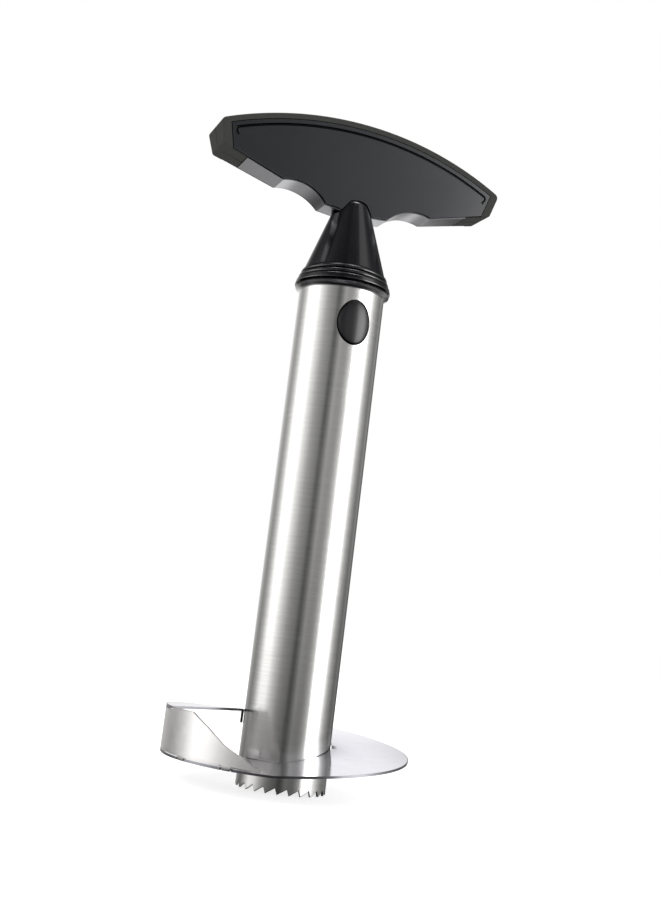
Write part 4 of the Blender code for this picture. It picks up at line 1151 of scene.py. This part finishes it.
def end_and_top(lift, end_inset, top_inset):
    """Corners and arc inside the handle's end and top, from a line lifted off its underside."""
    low = end_corner(lambda x: underside_z(x) + lift, end_inset)
    high = end_corner(lambda x: top_z(x, top_inset), end_inset)
    return [low, high] + top_arc(high, top_inset)


def mirrored(right_half):
    """The whole outline from its right half, which runs from the middle below to the top."""
    left_half = [Vector((-x, z)) for x, z in reversed(right_half) if x > WELD]
    return list(right_half) + left_half


def core_outline():
    """Outline of the core: the visible underside, a step for the band, then inside its key."""
    step = BAND_UNDER + GAP
    half = [Vector((0, HANDLE_Z))] + recess_arc()
    half += [Vector((SEAM_X, underside_z(SEAM_X))), Vector((SEAM_X, underside_z(SEAM_X) + step))]
    half += end_and_top(step, BAND_END + BAND_KEY + GAP, BAND_TOP + BAND_KEY + GAP)
    return mirrored(half)


def panel_outline():
    """Outline of a cover: a little above the underside, and inside the band above."""
    half = [Vector((x, z + PANEL_LIFT)) for x, z in [(0, HANDLE_Z)] + recess_arc()]
    return mirrored(half + end_and_top(PANEL_LIFT, BAND_END + GAP, BAND_TOP + GAP))


def make_core(finish):
    core = wedge("handle_strip", core_outline(), (1, 0), (-1, 0))
    rounded(core, FINE_EDGE)
    # Painted shade along the strip's sides, in the gap below the covers
    mark(core, "ground_and_painted_shade", lambda point: 1 - (wedge_half(point.z) - abs(point.y)) / STRIP_PAINTED_SHADE_WIDTH)
    dress(core, finish, "slicer", "handle_silver", "handle_core")


def make_collar(finish):
    """The turned collar with a slot for the handle."""
    roof = COLLAR_Z + COLLAR_RECESS_DEPTH
    profile = collar_profile()
    profile.append(Vector((COLLAR_RECESS_RADIUS, COLLAR_Z)))
    profile += [Vector((COLLAR_RECESS_RADIUS, roof)), Vector((0, roof))]
    collar = turned("collar_and_cone", profile)
    reach = CONE_TOP_RADIUS + OVERRUN
    bottom = HANDLE_Z - GAP
    top = HANDLE_Z + NOSE_HEIGHT + OVERRUN
    outline = [(-reach, bottom), (reach, bottom), (reach, top), (-reach, top)]
    boolean(collar, "DIFFERENCE", wedge("handle_slot", outline, (1, GAP), (-1, -GAP)))
    rounded(collar, FINE_EDGE)
    turned_normals(collar)
    # Painted shade in the grooves between the rings
    mark(collar, "ground_and_painted_shade", ring_groove_painted_shade)
    dress(collar, finish, "slicer", "gloss_black", "cone_collar")


def ring_groove_painted_shade(point):
    """How much painted shade a point of the collar gets for lying deep in the grooves between its rings.
    """
    rise = (point.z - COLLAR_Z) / RINGS_HEIGHT
    if rise > GROOVES_TOP_SHARE:
        return 0
    high_radius, high = RING_SHARES[0][:2]
    low_radius, low = RING_SHARES[-1][2:]
    crest = COLLAR_RADIUS * mix(low_radius, high_radius, (rise - low) / (high - low))
    return (crest - math.hypot(point.x, point.y)) / RING_PAINTED_SHADE_DEPTH


def make_panel(name, node, side, finish):
    """A cover on one side of the core: side -1 is the front."""
    panel = wedge(name, panel_outline(), (side, side * GAP), (side, side * PANEL_OUTER))
    arch = turned(name + "_arch", collar_profile(GAP) + [Vector((0, COLLAR_Z))])
    boolean(panel, "DIFFERENCE", arch, make_groove(name + "_groove", side))
    rounded(panel, SOFT_EDGE)
    # Painted shade in the groove below the cover's top edge
    mark(panel, "ground_and_painted_shade", groove_painted_shade)
    dress(panel, finish, "slicer", "cover_charcoal", node)


def groove_painted_shade(point):
    """How much painted shade a point of the cover gets in its groove: zero on its face."""
    painted_hollow_shade = wedge_half(point.z) + PANEL_OUTER - abs(point.y)
    off = abs(point.z - top_z(point.x, GROOVE_INSET))
    if abs(point.x) > GROOVE_HALF_LENGTH - GROOVE_HOOK_LEAN - GROOVE_RADIUS:
        off -= GROOVE_HOOK
    if off > GROOVE_RADIUS:
        return 0
    return min(painted_hollow_shade / GROOVE_PAINTED_SHADE_DEPTH, GROOVE_PAINTED_SHADE_SHARE)


def make_groove(name, side):
    """A round-bottomed groove below the cover's top edge, with its ends hooked down."""
    half = []
    for step in range(TOP_STEPS + 1):
        x = GROOVE_HALF_LENGTH * step / TOP_STEPS
        half.append((x, top_z(x, GROOVE_INSET)))
    end_z = half[-1][1]
    half.append((GROOVE_HALF_LENGTH + GROOVE_BULGE, end_z - GROOVE_BULGE_DROP))
    half.append((GROOVE_HALF_LENGTH - GROOVE_HOOK_LEAN, end_z - GROOVE_HOOK))
    path = [(-x, z) for x, z in reversed(half[1:])] + half
    points = [(x, side * (wedge_half(z) + PANEL_OUTER), z) for x, z in path]
    return wire(name, points, GROOVE_RADIUS, GROOVE_ROUNDNESS)


def wire(name, points, radius, roundness):
    """A round wire through the points, as a closed mesh."""
    data = bpy.data.curves.new(name, "CURVE")
    data.dimensions = "3D"
    data.bevel_depth = radius
    data.bevel_resolution = roundness
    data.use_fill_caps = True
    spline = data.splines.new("POLY")
    spline.points.add(len(points) - 1)
    for point, place in zip(spline.points, points):
        point.co = (*place, 1)
    curve = linked(name + "_path", data)
    mesh = made_mesh(curve)
    bpy.data.objects.remove(curve, do_unlink=True)
    bm = bmesh.new()
    bm.from_mesh(mesh)
    bmesh.ops.remove_doubles(bm, verts=bm.verts, dist=WELD)
    face_out(bm)
    return from_bmesh(name, bm)


def band_rails():
    """The band's outer and inner lines as two lists of paired points, from seam to middle."""
    seam_x = SEAM_X + GAP
    outer = (0.0, 0.0, 0.0, BAND_LOW_CORNER, BAND_TOP_CORNER)
    insets = (BAND_UNDER, BAND_END + BAND_KEY, BAND_TOP + BAND_KEY)
    inner = (*insets, BAND_INNER_CORNER, BAND_INNER_CORNER)
    rails = []
    for lift, end_inset, top_inset, low_fillet, high_fillet in (outer, inner):
        low, high, first, *arc = end_and_top(lift, end_inset, top_inset)
        corners = [(seam_x, underside_z(seam_x) + lift, 0), (*low, low_fillet)]
        corners += [(*high, high_fillet), (*first, 0)]
        rails.append(rounded_path(corners) + arc)
    return rails


def band_section(outer, inner):
    """The band's cross-section at a pair of rail points, as a loop of 3D points."""
    depth = (inner - outer).length
    spots = [(0.0, depth)]
    for step in range(BAND_EDGE_STEPS + 1):
        turn = math.pi / 2 * step / BAND_EDGE_STEPS
        spots.append((BAND_EDGE * (1 - math.cos(turn)), BAND_EDGE * (1 - math.sin(turn))))
    loop = []
    for inward, down in spots:
        x, z = outer.lerp(inner, down / depth)
        loop.append(Vector((x, inward - wedge_half(z) - PANEL_OUTER, z)))
    for width, down in ((-BAND_LINE_HALF_WIDTH, 0.0), (-BAND_LINE_HALF_WIDTH / 2, BAND_LINE_DEPTH)):
        x, z = outer.lerp(inner, down / depth)
        loop.append(Vector((x, width, z)))
    return loop + [Vector((x, -y, z)) for x, y, z in reversed(loop)]


def make_band(finish):
    """A loft of rounded sections round the handle's ends and top. The covers' pockets in its
    sides leave a key between the covers and a strip under the core."""
    outer, inner = band_rails()
    half = list(zip(outer, inner))
    flip = Matrix.Diagonal((-1, 1))
    stations = half + [(flip @ out, flip @ into) for out, into in reversed(half[:-1])]
    band = loft("soft_band", [band_section(*station) for station in stations])
    pockets = [make_pocket("front_cover_pocket", -1), make_pocket("back_cover_pocket", 1)]
    boolean(band, "DIFFERENCE", *pockets)
    rounded(band, FINE_EDGE)
    dress(band, finish, "slicer", "grip_rubber", "grip_band")


def make_pocket(name, side):
    """A cutter for the room that a cover takes inside the band."""
    start = Vector((SEAM_X - OVERRUN, underside_z(SEAM_X) - OVERRUN))
    outline = mirrored([start] + end_and_top(-OVERRUN, BAND_END, BAND_TOP))
    return wedge(name, outline, (side, 0), (side, side * (PANEL_OUTER + OVERRUN)))


def button_profile():
    """(radius, outward y) of a button: domed face, oval neck, flange and the spring's socket."""
    wide = BUTTON_HALF_WIDTH
    flange = wide + BUTTON_LIP
    back = BUTTON_FLANGE_Y - BUTTON_FLANGE
    floor = back + BUTTON_SOCKET_DEPTH
    profile = []
    for step in range(DOME_STEPS + 1):
        turn = math.pi / 2 * step / DOME_STEPS
        drop = BUTTON_EDGE * (1 - math.cos(turn) ** DOME_POWER)
        profile.append((wide * math.sin(turn), BUTTON_FACE - drop))
    profile += [(wide, BUTTON_FLANGE_Y), (flange, BUTTON_FLANGE_Y), (flange, back)]
    profile += [(BUTTON_SOCKET_RADIUS, back), (BUTTON_SOCKET_RADIUS, floor), (0, floor)]
    return profile


def make_button(name, body, side, finish):
    """A button: turned, stretched to an oval and wrapped to the tube's curve."""
    button = turned(name, button_profile(), BUTTON_STEPS)
    stretch = BUTTON_HALF_HEIGHT / BUTTON_HALF_WIDTH
    flip = Matrix.Rotation(math.pi if side > 0 else 0.0, 3, "Z")
    for vertex in button.data.vertices:
        across, up, out = vertex.co
        if out > BUTTON_FLANGE_Y + GAP:
            out -= BUTTON_FACE - math.sqrt(BUTTON_FACE**2 - across**2)
        if math.hypot(across, up) > BUTTON_SOCKET_RADIUS + WELD or out > BUTTON_FLANGE_Y + GAP:
            up *= stretch
        vertex.co = flip @ Vector((across, -out, up)) + Vector((0, 0, BUTTON_Z))
    button.data.update()
    rounded(button, FINE_EDGE)

    # Painted shade in a dark ring round the button's edge, where it meets the hole in the tube
    def rim(point):
        across = math.hypot(point.x / BUTTON_HALF_WIDTH, (point.z - BUTTON_Z) / BUTTON_HALF_HEIGHT)
        return (across - BUTTON_RIM_SHADE_SHARE) / (1 - BUTTON_RIM_SHADE_SHARE)

    mark(button, "ground_and_painted_shade", rim)
    dress(button, finish, body, "button_grey", body)


def main():
    make_studio()
    finishes = make_finishes()
    for part in frame["record"]["subparts"]:
        node = frame["nodes"][part["node"]]
        node.data.materials.clear()
        node.data.materials.append(finishes[part["material_slot"]])
    make_tube(finishes["tube_steel"])
    make_blade(finishes["blade_steel"])
    make_rim_cutter(finishes["cutter_steel"])
    make_collar(finishes["gloss_black"])
    make_core(finishes["handle_silver"])
    make_panel("front_cover", "front_panel", -1, finishes["cover_charcoal"])
    make_panel("back_cover", "back_panel", 1, finishes["cover_charcoal"])
    make_band(finishes["grip_rubber"])
    make_button("release_button_front", "front_button", -1, finishes["button_grey"])
    make_button("release_button_back", "back_button", 1, finishes["button_grey"])


main()
